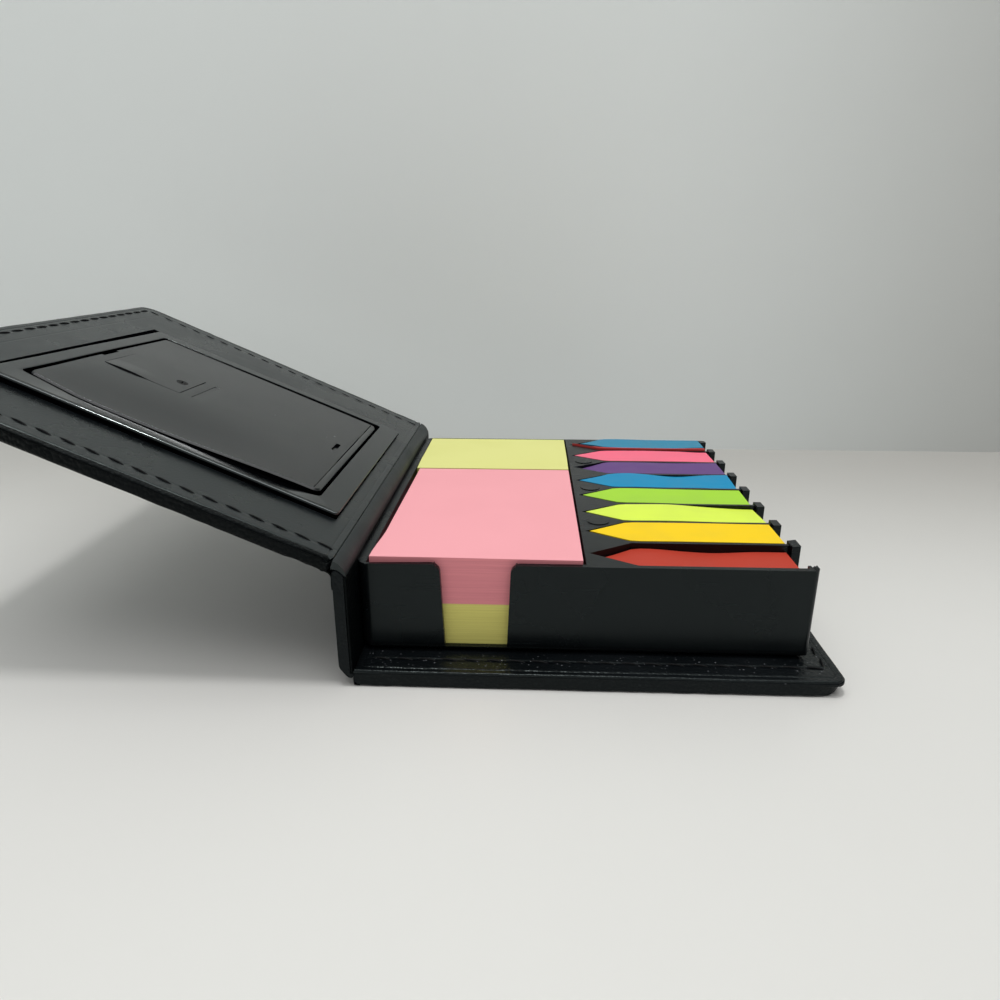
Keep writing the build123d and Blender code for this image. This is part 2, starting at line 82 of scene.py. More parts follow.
def atTop(level):
    return lambda a, b: min(a.z, b.z) > level - slack


def atFoot(level):
    return lambda a, b: max(a.z, b.z) < level + slack


def upright(a, b):
    return abs(a.z - b.z) > 2 * slack and abs(a.x - b.x) < slack and abs(a.y - b.y) < slack


def facingUp(middle, normal):
    return normal.z > 0.9


# selecting and shaping
def clearSelection():
    if bpy.context.object and bpy.context.object.mode != "OBJECT":
        bpy.ops.object.mode_set(mode="OBJECT")
    bpy.ops.object.select_all(action="DESELECT")


def makeActive(piece):
    clearSelection()
    piece.select_set(True)
    bpy.context.view_layer.objects.active = piece


def pick(piece, faces=None, edges=None):  # opens the piece in edit mode with what was asked for selected
    makeActive(piece)
    bpy.ops.object.mode_set(mode="EDIT")
    bpy.ops.mesh.select_mode(type="FACE" if faces else "EDGE")
    bpy.ops.mesh.select_all(action="DESELECT")
    bpy.ops.object.mode_set(mode="OBJECT")
    mesh = piece.data
    if faces:
        for face in mesh.polygons:
            face.select = bool(faces(face.center / mm, face.normal))
    else:
        points = [vertex.co / mm for vertex in mesh.vertices]
        for edge in mesh.edges:
            edge.select = bool(edges(points[edge.vertices[0]], points[edge.vertices[1]]))
    bpy.ops.object.mode_set(mode="EDIT")


def leaveEdit():
    bpy.ops.object.mode_set(mode="OBJECT")


def placeHere(piece):
    makeActive(piece)
    bpy.ops.object.transform_apply(location=True, rotation=True, scale=True)


def newPiece(name):  # what was just added, with its place and size made its own
    piece = bpy.context.object
    piece.name = name
    placeHere(piece)
    return piece


def turnTo(piece, place, angle, axis):
    piece.matrix_world = Matrix.Translation(Vector(place) * mm) @ Matrix.Rotation(angle, 4, axis)
    placeHere(piece)


def addBlock(name, low, high):  # two corners in millimetres
    low, high = Vector(low) * mm, Vector(high) * mm
    bpy.ops.mesh.primitive_cube_add(size=1, location=(low + high) / 2)
    bpy.context.object.scale = high - low
    return newPiece(name)


def addAround(name, middle, half, zLow, zHigh):  # a block by its middle and half its size
    low = (middle[0] - half[0], middle[1] - half[1], zLow)
    return addBlock(name, low, (middle[0] + half[0], middle[1] + half[1], zHigh))


def addRound(name, centre, radius, zLow, zHigh, sides=32):
    place = Vector((*centre, (zLow + zHigh) / 2)) * mm
    depth = (zHigh - zLow) * mm
    bpy.ops.mesh.primitive_cylinder_add(vertices=sides, radius=radius * mm, depth=depth, location=place)
    return newPiece(name)


def spots(piece):  # each vertex with its place in millimetres
    for vertex in piece.data.vertices:
        yield vertex, *(vertex.co / mm)


def addCopy(name, mesh):
    piece = bpy.data.objects.new(name, mesh.copy())
    bpy.context.collection.objects.link(piece)
    return piece


def insetBy(width, depth=0):
    bpy.ops.mesh.inset(thickness=width * mm, depth=depth * mm)


def extrudeBy(x, y, z):
    bpy.ops.mesh.extrude_region_move(TRANSFORM_OT_translate={"value": (x * mm, y * mm, z * mm)})


def addProfile(name, points, steps):  # an outline in x and z, drawn along y through the given steps
    bpy.ops.mesh.primitive_circle_add(vertices=len(points), radius=mm, fill_type="NGON")
    piece = newPiece(name)
    for vertex, (x, z) in zip(piece.data.vertices, points):
        vertex.co = Vector((x, steps[0], z)) * mm
    pick(piece, faces=everything)
    for start, finish in zip(steps, steps[1:]):
        extrudeBy(0, finish - start, 0)
    bpy.ops.mesh.select_all(action="SELECT")
    bpy.ops.mesh.normals_make_consistent(inside=False)
    leaveEdit()
    return piece


def useModifier(piece, kind, **settings):
    makeActive(piece)
    modifier = piece.modifiers.new(kind.lower(), kind)
    for key, value in settings.items():
        setattr(modifier, key, value)
    bpy.ops.object.modifier_apply(modifier=modifier.name)


def roundEdges(piece, width, segments, angle):
    limit = {"limit_method": "ANGLE", "angle_limit": math.radians(angle)}
    useModifier(piece, "BEVEL", width=width * mm, segments=segments, **limit)


def roundPicked(piece, edges, width, segments):
    pick(piece, edges=edges)
    bpy.ops.mesh.bevel(offset=width * mm, segments=segments, affect="EDGES")
    leaveEdit()


def cutAway(piece, cutter):
    useModifier(piece, "BOOLEAN", operation="DIFFERENCE", object=cutter, solver="EXACT")
    bpy.data.objects.remove(cutter, do_unlink=True)


def addStack(name, node, cuts):  # a block as large as the node, cut fine enough to bend
    low, high = (Vector(corner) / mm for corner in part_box(node))
    piece = addBlock(name, low, high)
    pick(piece, edges=everything)
    bpy.ops.mesh.subdivide(number_cuts=cuts)
    leaveEdit()
    return piece, low, high


def mergeClose(piece, distance=0.002):
    pick(piece, edges=everything)
    bpy.ops.mesh.remove_doubles(threshold=distance * mm)
    leaveEdit()


def smoothShade(piece, angle=35, weighted=True):
    makeActive(piece)
    bpy.ops.object.shade_smooth_by_angle(angle=math.radians(angle))
    if weighted:  # large flat faces keep their own normal
        useModifier(piece, "WEIGHTED_NORMAL", keep_sharp=True)


def sliceUp(piece, places, along):  # straight cuts right through, so that a flat face can bend
    pick(piece, edges=everything)
    for place in places:
        bpy.ops.mesh.select_all(action="SELECT")
        bpy.ops.mesh.bisect(plane_co=Vector(along) * place * mm, plane_no=along)
    leaveEdit()


def evenly(low, high, count):
    return [low + (high - low) * (index + 1) / (count + 1) for index in range(count)]


def joinPieces(name, pieces):
    clearSelection()
    for piece in pieces:
        piece.select_set(True)
    bpy.context.view_layer.objects.active = pieces[0]
    bpy.ops.object.join()
    pieces[0].name = name
    return pieces[0]


def seatOnLid(piece):
    piece.matrix_world = lidMatrix
    placeHere(piece)


def layFlat(piece):  # back from the leaning lid
    piece.matrix_world = lidMatrix.inverted()
    placeHere(piece)


def copyNode(node, name):  # the node's triangles, merged into whole faces
    piece = addCopy(name, nodes[node].data)
    piece.data.materials.clear()
    mergeClose(piece)
    pick(piece, faces=everything)
    bpy.ops.mesh.dissolve_limited(angle_limit=math.radians(0.5))
    leaveEdit()
    return piece


def sortFaces(piece, pickSlot):  # the place of each face's material, where true stands for the second
    for face in piece.data.polygons:
        face.material_index = int(pickSlot(face.center / mm, face.normal))


def dress(piece, materials, body, slotName, *cadNodes):
    piece.data.materials.clear()
    for material in materials:
        piece.data.materials.append(material)
    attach(piece, body)
    if cadNodes:
        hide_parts(*cadNodes)


def finishOnLid(piece, angle, materials, pickSlot, body, slotName, *cadNodes):
    dress(piece, materials, body, slotName, *cadNodes)
    if pickSlot:
        sortFaces(piece, pickSlot)
    smoothShade(piece, angle)
    seatOnLid(piece)


# shader building
def put(tree, kind, sockets=None, **settings):
    node = tree.nodes.new(kind)
    for key, value in settings.items():
        setattr(node, key, value)
    for socket, value in (sockets or {}).items():
        if isinstance(value, bpy.types.NodeSocket):
            tree.links.new(value, node.inputs[socket])
        else:
            node.inputs[socket].default_value = value
    return node


def calc(tree, operation, first, second=0.0, third=0.0):
    sockets = {0: first, 1: second}
    if operation == "MULTIPLY_ADD":
        sockets[2] = third
    return put(tree, "ShaderNodeMath", sockets, operation=operation).outputs[0]


def fade(tree, value, low, high, first=0.0, last=1.0):
    sockets = {0: value, 1: low, 2: high, 3: first, 4: last}
    return put(tree, "ShaderNodeMapRange", sockets, interpolation_type="SMOOTHSTEP").outputs[0]


def mixTones(tree, share, first, second):
    return put(tree, "ShaderNodeMix", {0: share, 6: first, 7: second}, data_type="RGBA").outputs[2]


def noiseAt(tree, place, scale, detail, rough=0.5):
    sockets = {"Vector": place, "Scale": scale, "Detail": detail, "Roughness": rough}
    return put(tree, "ShaderNodeTexNoise", sockets).outputs[0]


def startGroup(name, inputs, outputs):
    tree = bpy.data.node_groups.new(name, "ShaderNodeTree")
    for label, value in inputs.items():
        kind = "NodeSocketVector" if value is None else "NodeSocketFloat"
        socket = tree.interface.new_socket(label, in_out="INPUT", socket_type=kind)
        if value is not None:
            socket.default_value = value
    for label in outputs:
        tree.interface.new_socket(label, in_out="OUTPUT", socket_type="NodeSocketFloat")
    return tree, tree.nodes.new("NodeGroupInput").outputs, tree.nodes.new("NodeGroupOutput").inputs


def useGroup(tree, group, sockets):
    return put(tree, "ShaderNodeGroup", sockets, node_tree=group).outputs


def leatherGrainGroup():
    tree, given, result = startGroup("leatherGrain", {"Vector": None, "Scale": 1300.0}, ["Height", "Blotch"])
    place, scale = given["Vector"], given["Scale"]
    pebble = put(tree, "ShaderNodeTexVoronoi", {"Vector": place, "Scale": scale, "Randomness": 0.9})
    crease = noiseAt(tree, place, calc(tree, "MULTIPLY", scale, 0.3), 3.0)
    blotch = noiseAt(tree, place, calc(tree, "MULTIPLY", scale, 0.03), 4.0, 0.6)
    dome = calc(tree, "SUBTRACT", 1.0, pebble.outputs["Distance"])
    tree.links.new(calc(tree, "MULTIPLY_ADD", crease, 0.5, dome), result["Height"])
    tree.links.new(fade(tree, blotch, 0.3, 0.7), result["Blotch"])
    return tree


def fineWearGroup():  # hair scratches and specks of dust
    inputs = {"Vector": None, "Scratch Scale": 60.0, "Speck Scale": 500.0, "Speck Share": 0.1}
    tree, given, result = startGroup("fineWear", inputs, ["Scratch", "Speck"])
    strokes = []
    for turn, seed in ((0.5, 0.0), (-0.9, 3.0), (1.3, 7.0)):
        stretch = {"Location": (seed, seed, seed), "Rotation": (0.3, turn, turn), "Scale": (1, 22, 22)}
        turned = put(tree, "ShaderNodeMapping", {"Vector": given["Vector"], **stretch}).outputs[0]
        strokes.append(fade(tree, noiseAt(tree, turned, given["Scratch Scale"], 1.0), 0.68, 0.76))
    scratch = calc(tree, "MAXIMUM", calc(tree, "MAXIMUM", strokes[0], strokes[1]), strokes[2])
    tree.links.new(scratch, result["Scratch"])
    dust = put(tree, "ShaderNodeTexVoronoi", {"Vector": given["Vector"], "Scale": given["Speck Scale"]})
    lot = put(tree, "ShaderNodeSeparateColor", {0: dust.outputs["Color"]})
    chosen = calc(tree, "LESS_THAN", lot.outputs[0], given["Speck Share"])
    size = calc(tree, "MULTIPLY_ADD", lot.outputs[1], 0.16, 0.05)
    inside = calc(tree, "LESS_THAN", dust.outputs["Distance"], size)
    tree.links.new(calc(tree, "MULTIPLY", chosen, inside), result["Speck"])
    return tree


def sheetStackGroup():  # the edges of stacked sheets, one streak over another
    tree, given, result = startGroup("sheetStack", {"Vector": None, "Sheets": 2600.0}, ["Streak", "Fibre"])
    squeeze = {"Vector": given["Vector"], "Scale": (0.012, 0.012, 1)}
    flat = put(tree, "ShaderNodeMapping", squeeze).outputs[0]
    streak = noiseAt(tree, flat, given["Sheets"], 3.0, 0.7)
    tree.links.new(fade(tree, streak, 0.32, 0.68), result["Streak"])
    tree.links.new(noiseAt(tree, given["Vector"], given["Sheets"], 2.0), result["Fibre"])
    return tree


def stitchLineGroup():  # distance to a sewn rectangle, as a soft groove
    inputs = {"Centre X": 0.0, "Centre Y": 0.0, "Half X": 0.05, "Half Y": 0.06, "Width": 0.0006}
    tree, given, result = startGroup("stitchLine", {"Vector": None, **inputs}, ["Groove"])
    parts = put(tree, "ShaderNodeSeparateXYZ", {0: given["Vector"]}).outputs
    reach = []
    for axis, letter in ((0, "X"), (1, "Y")):
        offset = calc(tree, "ABSOLUTE", calc(tree, "SUBTRACT", parts[axis], given["Centre " + letter]))
        reach.append(calc(tree, "SUBTRACT", offset, given["Half " + letter]))
    away = calc(tree, "ABSOLUTE", calc(tree, "MAXIMUM", reach[0], reach[1]))
    tree.links.new(fade(tree, away, 0.0, given["Width"], 1.0, 0.0), result["Groove"])
    return tree


leatherGrain, fineWear = leatherGrainGroup(), fineWearGroup()
sheetStack, stitchLine = sheetStackGroup(), stitchLineGroup()


def startMaterial(name, **constants):
    material = bpy.data.materials.new(name)
    material.use_nodes = True
    tree = material.node_tree
    shader = tree.nodes["Principled BSDF"]
    for socket, value in constants.items():
        shader.inputs[socket.replace("_", " ")].default_value = value
    place = put(tree, "ShaderNodeTexCoord").outputs["Object"]
    return material, tree, shader, place


def startShiny(name, settings):
    return startMaterial(name, Specular_IOR_Level=settings["shine"], Specular_Tint=settings["tint"])


def colourAndRough(tree, shader, colour, rough):
    tree.links.new(colour, shader.inputs["Base Color"])
    tree.links.new(rough, shader.inputs["Roughness"])


def bumpBy(tree, shader, height, strength, distance):
    node = put(tree, "ShaderNodeBump", {"Strength": strength, "Distance": distance * mm, "Height": height})
    tree.links.new(node.outputs[0], shader.inputs["Normal"])


def toLidFlat(tree, place):  # turns the object's place back into the flat lid's
    back = lidMatrix.inverted()
    sockets = {"Vector": place, "Location": back.to_translation(), "Rotation": back.to_euler()}
    return put(tree, "ShaderNodeMapping", sockets).outputs[0]


def leatherMaterial(name, settings):
    material, tree, shader, place = startShiny(name, settings)
    grain = useGroup(tree, leatherGrain, {"Vector": place, "Scale": settings["grain"]})
    specks = {"Speck Scale": settings["specks"], "Speck Share": settings["dust"]}
    speck = useGroup(tree, fineWear, {"Vector": place, **specks})["Speck"]
    height = grain["Height"]
    base = mixTones(tree, grain["Blotch"], tone(*settings["dark"]), tone(*settings["light"]))
    if "sewn" in settings:
        flat = toLidFlat(tree, place) if settings["onLid"] else place
        for sewn in settings["sewn"]:
            groove = useGroup(tree, stitchLine, {"Vector": flat, **sewn})["Groove"]
            height = calc(tree, "MULTIPLY_ADD", groove, -settings["grooveDepth"], height)
        seam = {**settings["sewn"][0], "Width": settings["dustReach"]}
        nearSeam = useGroup(tree, stitchLine, {"Vector": flat, **seam})["Groove"]
        speck = calc(tree, "MULTIPLY", speck, calc(tree, "MULTIPLY_ADD", nearSeam, 0.95, 0.05))
    base = mixTones(tree, speck, base, tone(*settings["speckTone"]))
    colourAndRough(tree, shader, base, fade(tree, grain["Blotch"], 0.0, 1.0, *settings["rough"]))
    bumpBy(tree, shader, height, settings["bump"], settings["relief"])
    return material


def plasticMaterial(name, settings):
    material, tree, shader, place = startShiny(name, settings)
    spark = noiseAt(tree, place, settings["spark"], 2.0)
    haze = fade(tree, noiseAt(tree, place, settings["haze"], 3.0), 0.3, 0.7)
    specks = {"Speck Scale": settings["specks"], "Speck Share": settings["dust"]}
    wear = useGroup(tree, fineWear, {"Vector": place, "Scratch Scale": settings["scratch"], **specks})
    base = mixTones(tree, haze, tone(*settings["dark"]), tone(*settings["light"]))
    base = mixTones(tree, wear["Speck"], base, tone(*settings["speckTone"]))
    rough = fade(tree, haze, 0.0, 1.0, *settings["rough"])
    worn = calc(tree, "MULTIPLY_ADD", wear["Scratch"], settings["scratchRough"], rough)
    colourAndRough(tree, shader, base, worn)
    bumpBy(tree, shader, spark, settings["bump"], settings["relief"])
    return material


def sheetMaterial(name, settings, face, shade, streaky):  # the top of a stack, or its streaky edge, which is given darker tones as painted shade
    material, tree, shader, place = startMaterial(name, Specular_IOR_Level=0.12)
    sheets = useGroup(tree, sheetStack, {"Vector": place, "Sheets": settings["sheets"]})
    drift = noiseAt(tree, place, settings["drift"], 2.0)
    share = sheets["Streak"] if streaky else fade(tree, drift, 0.35, 0.65)
    rough = fade(tree, sheets["Fibre"] if settings["fibrous"] else drift, 0.3, 0.7, *settings["rough"])
    colourAndRough(tree, shader, mixTones(tree, share, tone(*shade), tone(*face)), rough)
    strength, relief = settings["edgeBump"] if streaky else settings["faceBump"]
    bumpBy(tree, shader, sheets["Streak"] if streaky else sheets["Fibre"], strength, relief)
    return material


def plainMaterial(name, dark, light, scale, rough, relief=0.03, **constants):  # two close tones
    material, tree, shader, place = startMaterial(name, **constants)
    grain = noiseAt(tree, place, scale, 4.0)
    share = fade(tree, grain, 0.35, 0.65)
    base = mixTones(tree, share, tone(*dark), tone(*light))
    colourAndRough(tree, shader, base, fade(tree, share, 0.0, 1.0, *rough))
    if relief:
        bumpBy(tree, shader, grain, 0.1, relief)
    return material


def sewnAt(*places):  # a sewn or turned-in rectangle in millimetres
    labels = ("Centre X", "Centre Y", "Half X", "Half Y", "Width")
    return {label: place * mm for label, place in zip(labels, places)}


baseSewn = sewnAt(0, 1.4, 54.1, 63.9, 0.9)
lidSewn = sewnAt(53.0, 0, 59.479, 62.7, 0.9)
lidTurnIn = sewnAt(44.0, 0, 64.0, 90.0, 0.45)
leatherLook = {
    "dark": (8, 11, 13), "light": (15, 18, 21), "grain": 1150.0, "bump": 0.5, "relief": 0.2,
    "rough": (0.4, 0.55), "shine": 0.16, "tint": (0.87, 1.0, 0.98, 1),
    "specks": 700.0, "dust": 0.012, "speckTone": (70, 72, 75),
}
baseLook = {
    **leatherLook, "rough": (0.28, 0.4), "shine": 0.3,
    "specks": 1050.0, "dust": 0.7, "speckTone": (122, 124, 128),
    "sewn": [baseSewn], "onLid": False, "grooveDepth": 2.4, "dustReach": 4.4 * mm,
}
spineInLook = {**leatherLook, "dark": (4, 6, 7), "light": (8, 10, 11), "dust": 0.06, "shine": 0.06}
liningLook = {
    **leatherLook, "grain": 1500.0, "bump": 0.14, "relief": 0.12,
    "rough": (0.25, 0.33), "shine": 0.54, "dust": 0.004,
}
foldLook = {**liningLook, "rough": (0.45, 0.55), "bump": 0.3, "shine": 0.6}
# darker tones for the lid's side faces and edge roll: painted shade, over a real coarser grain
shadedEdgeLook = {
    **leatherLook, "dark": (3, 4, 5), "light": (8, 10, 12),
    "grain": 1000.0, "bump": 0.9, "relief": 0.32, "shine": 0.1,
}
lidLook = {
    **liningLook, "sewn": [lidSewn, lidTurnIn], "onLid": True, "grooveDepth": 3.0, "dustReach": 2.0 * mm,
}
trayLook = {
    "dark": (8, 11, 13), "light": (12, 15, 17), "haze": 45.0, "spark": 5200.0, "bump": 0.08, "relief": 0.03,
    "rough": (0.24, 0.32), "scratch": 55.0, "scratchRough": 0.05, "shine": 0.24, "tint": (0.85, 1.0, 1.0, 1),
    "specks": 700.0, "dust": 0.0, "speckTone": (120, 122, 124),
}
bezelLook = {
    **trayLook, "bump": 0.04, "rough": (0.14, 0.18), "dust": 0.002,
    "shine": 0.56, "tint": (0.9, 1.0, 0.98, 1),
}
# a lighter tone on the bead: painted highlight, over its real higher gloss
beadHighlightLook = {
    **bezelLook, "dark": (76, 78, 80), "light": (88, 90, 92),
    "bump": 0.02, "rough": (0.05, 0.08), "shine": 1.0,
}
coverLook = {**trayLook, "rough": (0.17, 0.22), "dust": 0.003, "shine": 0.62, "tint": (0.98, 1.0, 1.0, 1)}
shellLook = {**trayLook, "rough": (0.12, 0.17), "dust": 0.0003, "bump": 0.02, "shine": 0.45}
metal = {"Metallic": 1.0}
glassy = {"Transmission_Weight": 1.0, "IOR": 1.49}

leatherette = leatherMaterial("leatherette", leatherLook)
baseLining = leatherMaterial("baseLining", baseLook)
lining = leatherMaterial("foldLining", foldLook)
shadedEdgeLeather = leatherMaterial("shadedEdgeLeather", shadedEdgeLook)
spineInside = leatherMaterial("spineInside", spineInLook)
lidLining = leatherMaterial("lidLining", lidLook)
trayPlastic = plasticMaterial("trayPlastic", trayLook)
bezelPlastic = plasticMaterial("bezelPlastic", bezelLook)
beadPaintedHighlight = plasticMaterial("beadPaintedHighlight", beadHighlightLook)
coverPlastic = plasticMaterial("coverPlastic", coverLook)
shellPlastic = plasticMaterial("shellPlastic", shellLook)
thread = plainMaterial("thread", (6, 7, 8), (16, 17, 19), 2500.0, (0.55, 0.75), Specular_IOR_Level=0.2)
# matte black for gaps, walls and undersides: painted shade
paintedShadeBlack = plainMaterial("paintedShadeBlack", (2, 2, 3), (5, 5, 6), 1500.0, (0.9, 1.0), Specular_IOR_Level=0.0)
greyboard = plainMaterial("greyboard", (120, 116, 108), (160, 156, 146), 900.0, (0.8, 0.9))
buttonRubber = plainMaterial("buttonRubber", (48, 49, 52), (60, 61, 64), 3000.0, (0.55, 0.65))
connectorRubber = plainMaterial("connectorRubber", (150, 92, 100), (182, 120, 126), 1500.0, (0.6, 0.7))
laminate = plainMaterial("boardLaminate", (18, 84, 44), (30, 108, 58), 500.0, (0.35, 0.5))
steel = plainMaterial("zincSteel", (96, 97, 100), (140, 141, 143), 1800.0, (0.28, 0.42), **metal)
darkSteel = plainMaterial("blackSteel", (26, 26, 28), (44, 44, 46), 1800.0, (0.35, 0.5), **metal)
cellMetal = plainMaterial("cellMetal", (176, 177, 178), (205, 206, 207), 700.0, (0.16, 0.26), **metal)
contactMetal = plainMaterial("contactMetal", (186, 160, 96), (210, 186, 124), 1200.0, (0.22, 0.34), **metal)
lcdGlass = plainMaterial("lcdGlass", (153, 160, 148), (157, 164, 151), 900.0, (0.24, 0.28), 0)
lcdInk = plainMaterial("lcdInk", (26, 29, 30), (34, 37, 38), 900.0, (0.3, 0.4))
lensClear = plainMaterial("lensClear", (240, 243, 244), (248, 250, 251), 60.0, (0.02, 0.05), 0, **glassy)
lensBorder = plainMaterial("lensBorder", (5, 6, 7), (9, 10, 11), 1500.0, (0.35, 0.45))
print("materials ready")

# cover panels: a pan of leatherette round its board, and a lining on top
panels = {
    "side": 68.5, "baseEnds": (-57.3, 57.3), "baseLevels": (0, 3.4, 4.0), "lidLevels": (-3.6, -0.6, 0),
    "corner": 5.0, "baseCorner": 3.2, "cornerSteps": 8, "rimBand": 0.6,
    "outerRound": 1.1, "liningRound": 0.45, "skin": 0.7, "liningInset": 0.18,
    "foldRound": 2.0, "foldSteps": 5, "lidFoldCorners": (1.5, 2.15),
    "pressedPlace": 1.5, "pressedHalf": 0.28, "pressedDepth": 0.14, "step": 2.65,
    "rim": (5, 0.5), "pucker": 0.13, "puckerScale": 0.75,
    "puckerMean": 0.4, "puckerSwing": 0.9, "puckerMost": 0.32,
    "bunch": 0.45, "bunchReach": 14, "bunchSide": (60, 67),
    "tuck": 1.3, "tuckIn": 0.7, "tuckReach": 7, "tuckHeights": (2.2, 2.75),
    "window": (42.3, 40.5), "liningHole": ((6.28, -42.4, -2), (99.9, 47.18, 2)), "holeWiden": 0.8,
    "sideFrom": 60, "roll": 66.85,
}


def onRim(a, b, low, high, corner):  # an edge of the outline, its rounded corners among them
    middle = (a + b) / 2
    if min(middle.x - low[0], high[0] - middle.x, middle.y - low[1], high[1] - middle.y) < 2 * slack:
        return True
    reach = (max(middle.x - (high[0] - corner), 0), max(abs(middle.y) - (high[1] - corner), 0))
    return min(reach) > 0 and math.hypot(*reach) > corner - panels["rimBand"]


def addPanel(name, low, high, pan, foldCorner):
    piece = addBlock(name, low, high)
    corner = panels["corner"] if foldCorner else panels["baseCorner"]
    roundPicked(piece, lambda a, b: upright(a, b) and a.x > high[0] - slack, corner, panels["cornerSteps"])
    if foldCorner:
        roundPicked(piece, lambda a, b: upright(a, b) and a.x < low[0] + slack, foldCorner, 4)
    pick(piece, faces=facingUp)
    if pan:
        insetBy(panels["skin"])
        extrudeBy(0, 0, low[2] + panels["skin"] - high[2])
        leaveEdit()
        onFoot = atFoot(low[2])
        if not foldCorner:  # the base's left end is drawn up to its fold
            atFold = lambda a, b: onFoot(a, b) and max(a.x, b.x) < low[0] + slack
            roundPicked(piece, atFold, panels["foldRound"], panels["foldSteps"])
        roundPicked(piece, onFoot, panels["outerRound"], 4)
    else:
        insetBy(panels["pressedPlace"])  # a line pressed in along the turned edge
        for depth in (-panels["pressedDepth"], panels["pressedDepth"]):
            insetBy(panels["pressedHalf"], depth)
        leaveEdit()
        onTop = atTop(high[2])
        onTopRim = lambda a, b: onTop(a, b) and onRim(a, b, low, high, corner)
        roundPicked(piece, onTopRim, panels["liningRound"], 3)
    return piece


def puckerEdges(piece, low, high, cornerTuck):  # drawn in by stitches, bunched by the fold, tucked at corners
    for axis, along in enumerate(((1, 0, 0), (0, 1, 0))):
        count = int((high[axis] - low[axis]) / panels["step"])
        sliceUp(piece, evenly(low[axis], high[axis], count), along)
    tuckLow, tuckHigh = (low[2] + height for height in panels["tuckHeights"])
    if cornerTuck:
        sliceUp(piece, (tuckLow, tuckHigh), (0, 0, 1))
    scale, reach = panels["puckerScale"], panels["tuckReach"]
    for vertex, x, y, z in spots(piece):
        rim = max(ease(high[0] - x, *panels["rim"]), ease(min(y - low[1], high[1] - y), *panels["rim"]))
        bunch = ease(x, low[0] + panels["bunchReach"], low[0]) * ease(abs(y), *panels["bunchSide"])
        push = (panels["pucker"] + panels["bunch"] * bunch) * rim
        side = 1 if y > 0 else -1
        atCorner = ease(x, high[0] - reach, high[0]) * ease(abs(y), high[1] - reach, high[1])
        tuck = cornerTuck * atCorner * ease(z, tuckHigh, tuckLow)
        swing = panels["puckerMean"] + noise.noise((x * scale, y * scale, z)) * panels["puckerSwing"]
        drawn = min(push * swing, panels["puckerMost"])
        vertex.co.x -= tuck * mm
        vertex.co.y -= (drawn + panels["tuckIn"] * tuck) * side * mm
        lifted = vertex.co.z + push * noise.noise((x * scale, y * scale, z + 40)) * mm
        vertex.co.z = max(lifted, low[2] * mm)


def panelPair(coverName, liningName, ends, levels, foldCorners):
    side, inset = panels["side"], panels["liningInset"]
    foot, liningFoot, top = levels
    low, high = (ends[0], -side, foot), (ends[1], side, top)
    wrap = addPanel(coverName, low, (ends[1], side, liningFoot), True, foldCorners[0])
    liningLow, liningHigh = (ends[0], inset - side, liningFoot), (ends[1] - inset, side - inset, top)
    over = addPanel(liningName, liningLow, liningHigh, False, foldCorners[1])
    for piece in (wrap, over):
        puckerEdges(piece, low, high, 0 if foldCorners[0] else panels["tuck"])
    return wrap, over


def onShadedLidEdge(middle, normal):  # both side faces, and the roll outside the near pressed line, painted darker as painted shade
    onRoll = middle.y > panels["roll"] and normal.z > -0.3
    return abs(middle.y) > panels["sideFrom"] and (abs(normal.y) > 0.7 or onRoll)


baseWrap, baseTop = panelPair("baseWrap", "baseTop", panels["baseEnds"], panels["baseLevels"], (0, 0))
for panel in (baseWrap, baseTop):
    smoothShade(panel)
dress(baseWrap, [leatherette], "stand", "leatherette", "base_cover")
dress(baseTop, [baseLining], "stand", "lining", "base_lining")

lidEnds = (lid["near"], lid["far"])
lidWrap, lidTop = panelPair("lidWrap", "lidTop", lidEnds, panels["lidLevels"], panels["lidFoldCorners"])
cutAway(lidWrap, addAround("windowCutter", (moduleX, moduleY), panels["window"], -5, 2))
liningCutter = addBlock("liningCutter", *panels["liningHole"])
for vertex in liningCutter.data.vertices:  # the lining is cut a little wide on the free side
    if vertex.co.x > moduleX * mm and vertex.co.y < 0:
        vertex.co.y -= panels["holeWiden"] * mm
cutAway(lidTop, liningCutter)
finishOnLid(lidWrap, 35, [leatherette, shadedEdgeLeather], onShadedLidEdge, "lid", "leatherette", "lid_cover")
finishOnLid(lidTop, 35, [lidLining, shadedEdgeLeather], onShadedLidEdge, "lid", "lining", "lid_lining")
print("panels ready")


# sewing: one pulled thread, copied along the rows
stitch = {
    "pitch": 5.3, "length": 4.9, "width": 0.46, "height": 0.34, "sink": 0.34, "slant": -10.0,
    "sides": 8, "cuts": 5, "slim": 0.45, "swell": 1.4, "ride": 0.35, "waver": 0.03,
    "baseSide": 54.1, "baseFront": -62.5, "baseBack": 65.3, "baseTop": 4.0,
    "lidStart": 2.0, "lidEnd": 112.479, "lidSide": 62.7, "farDepth": -0.14,
}


def addStitch():
    half = stitch["length"] / 2
    size = {"vertices": stitch["sides"], "radius": 0.5 * mm, "depth": 2 * half * mm}
    bpy.ops.mesh.primitive_cylinder_add(**size, rotation=(0, math.pi / 2, 0))
    piece = newPiece("oneStitch")
    pick(piece, edges=lambda a, b: abs(a.x - b.x) > half)
    bpy.ops.mesh.subdivide(number_cuts=stitch["cuts"])
    leaveEdit()
    for vertex in piece.data.vertices:
        share = abs(vertex.co.x / mm) / half
        slim = 1 - stitch["slim"] * share ** 3
        rise = stitch["height"] * stitch["ride"] - stitch["sink"] * share ** 2.5
        vertex.co.y *= stitch["width"] * slim
        vertex.co.z = vertex.co.z * stitch["height"] * slim * stitch["swell"] + rise * mm
    smoothShade(piece, 70)
    return piece


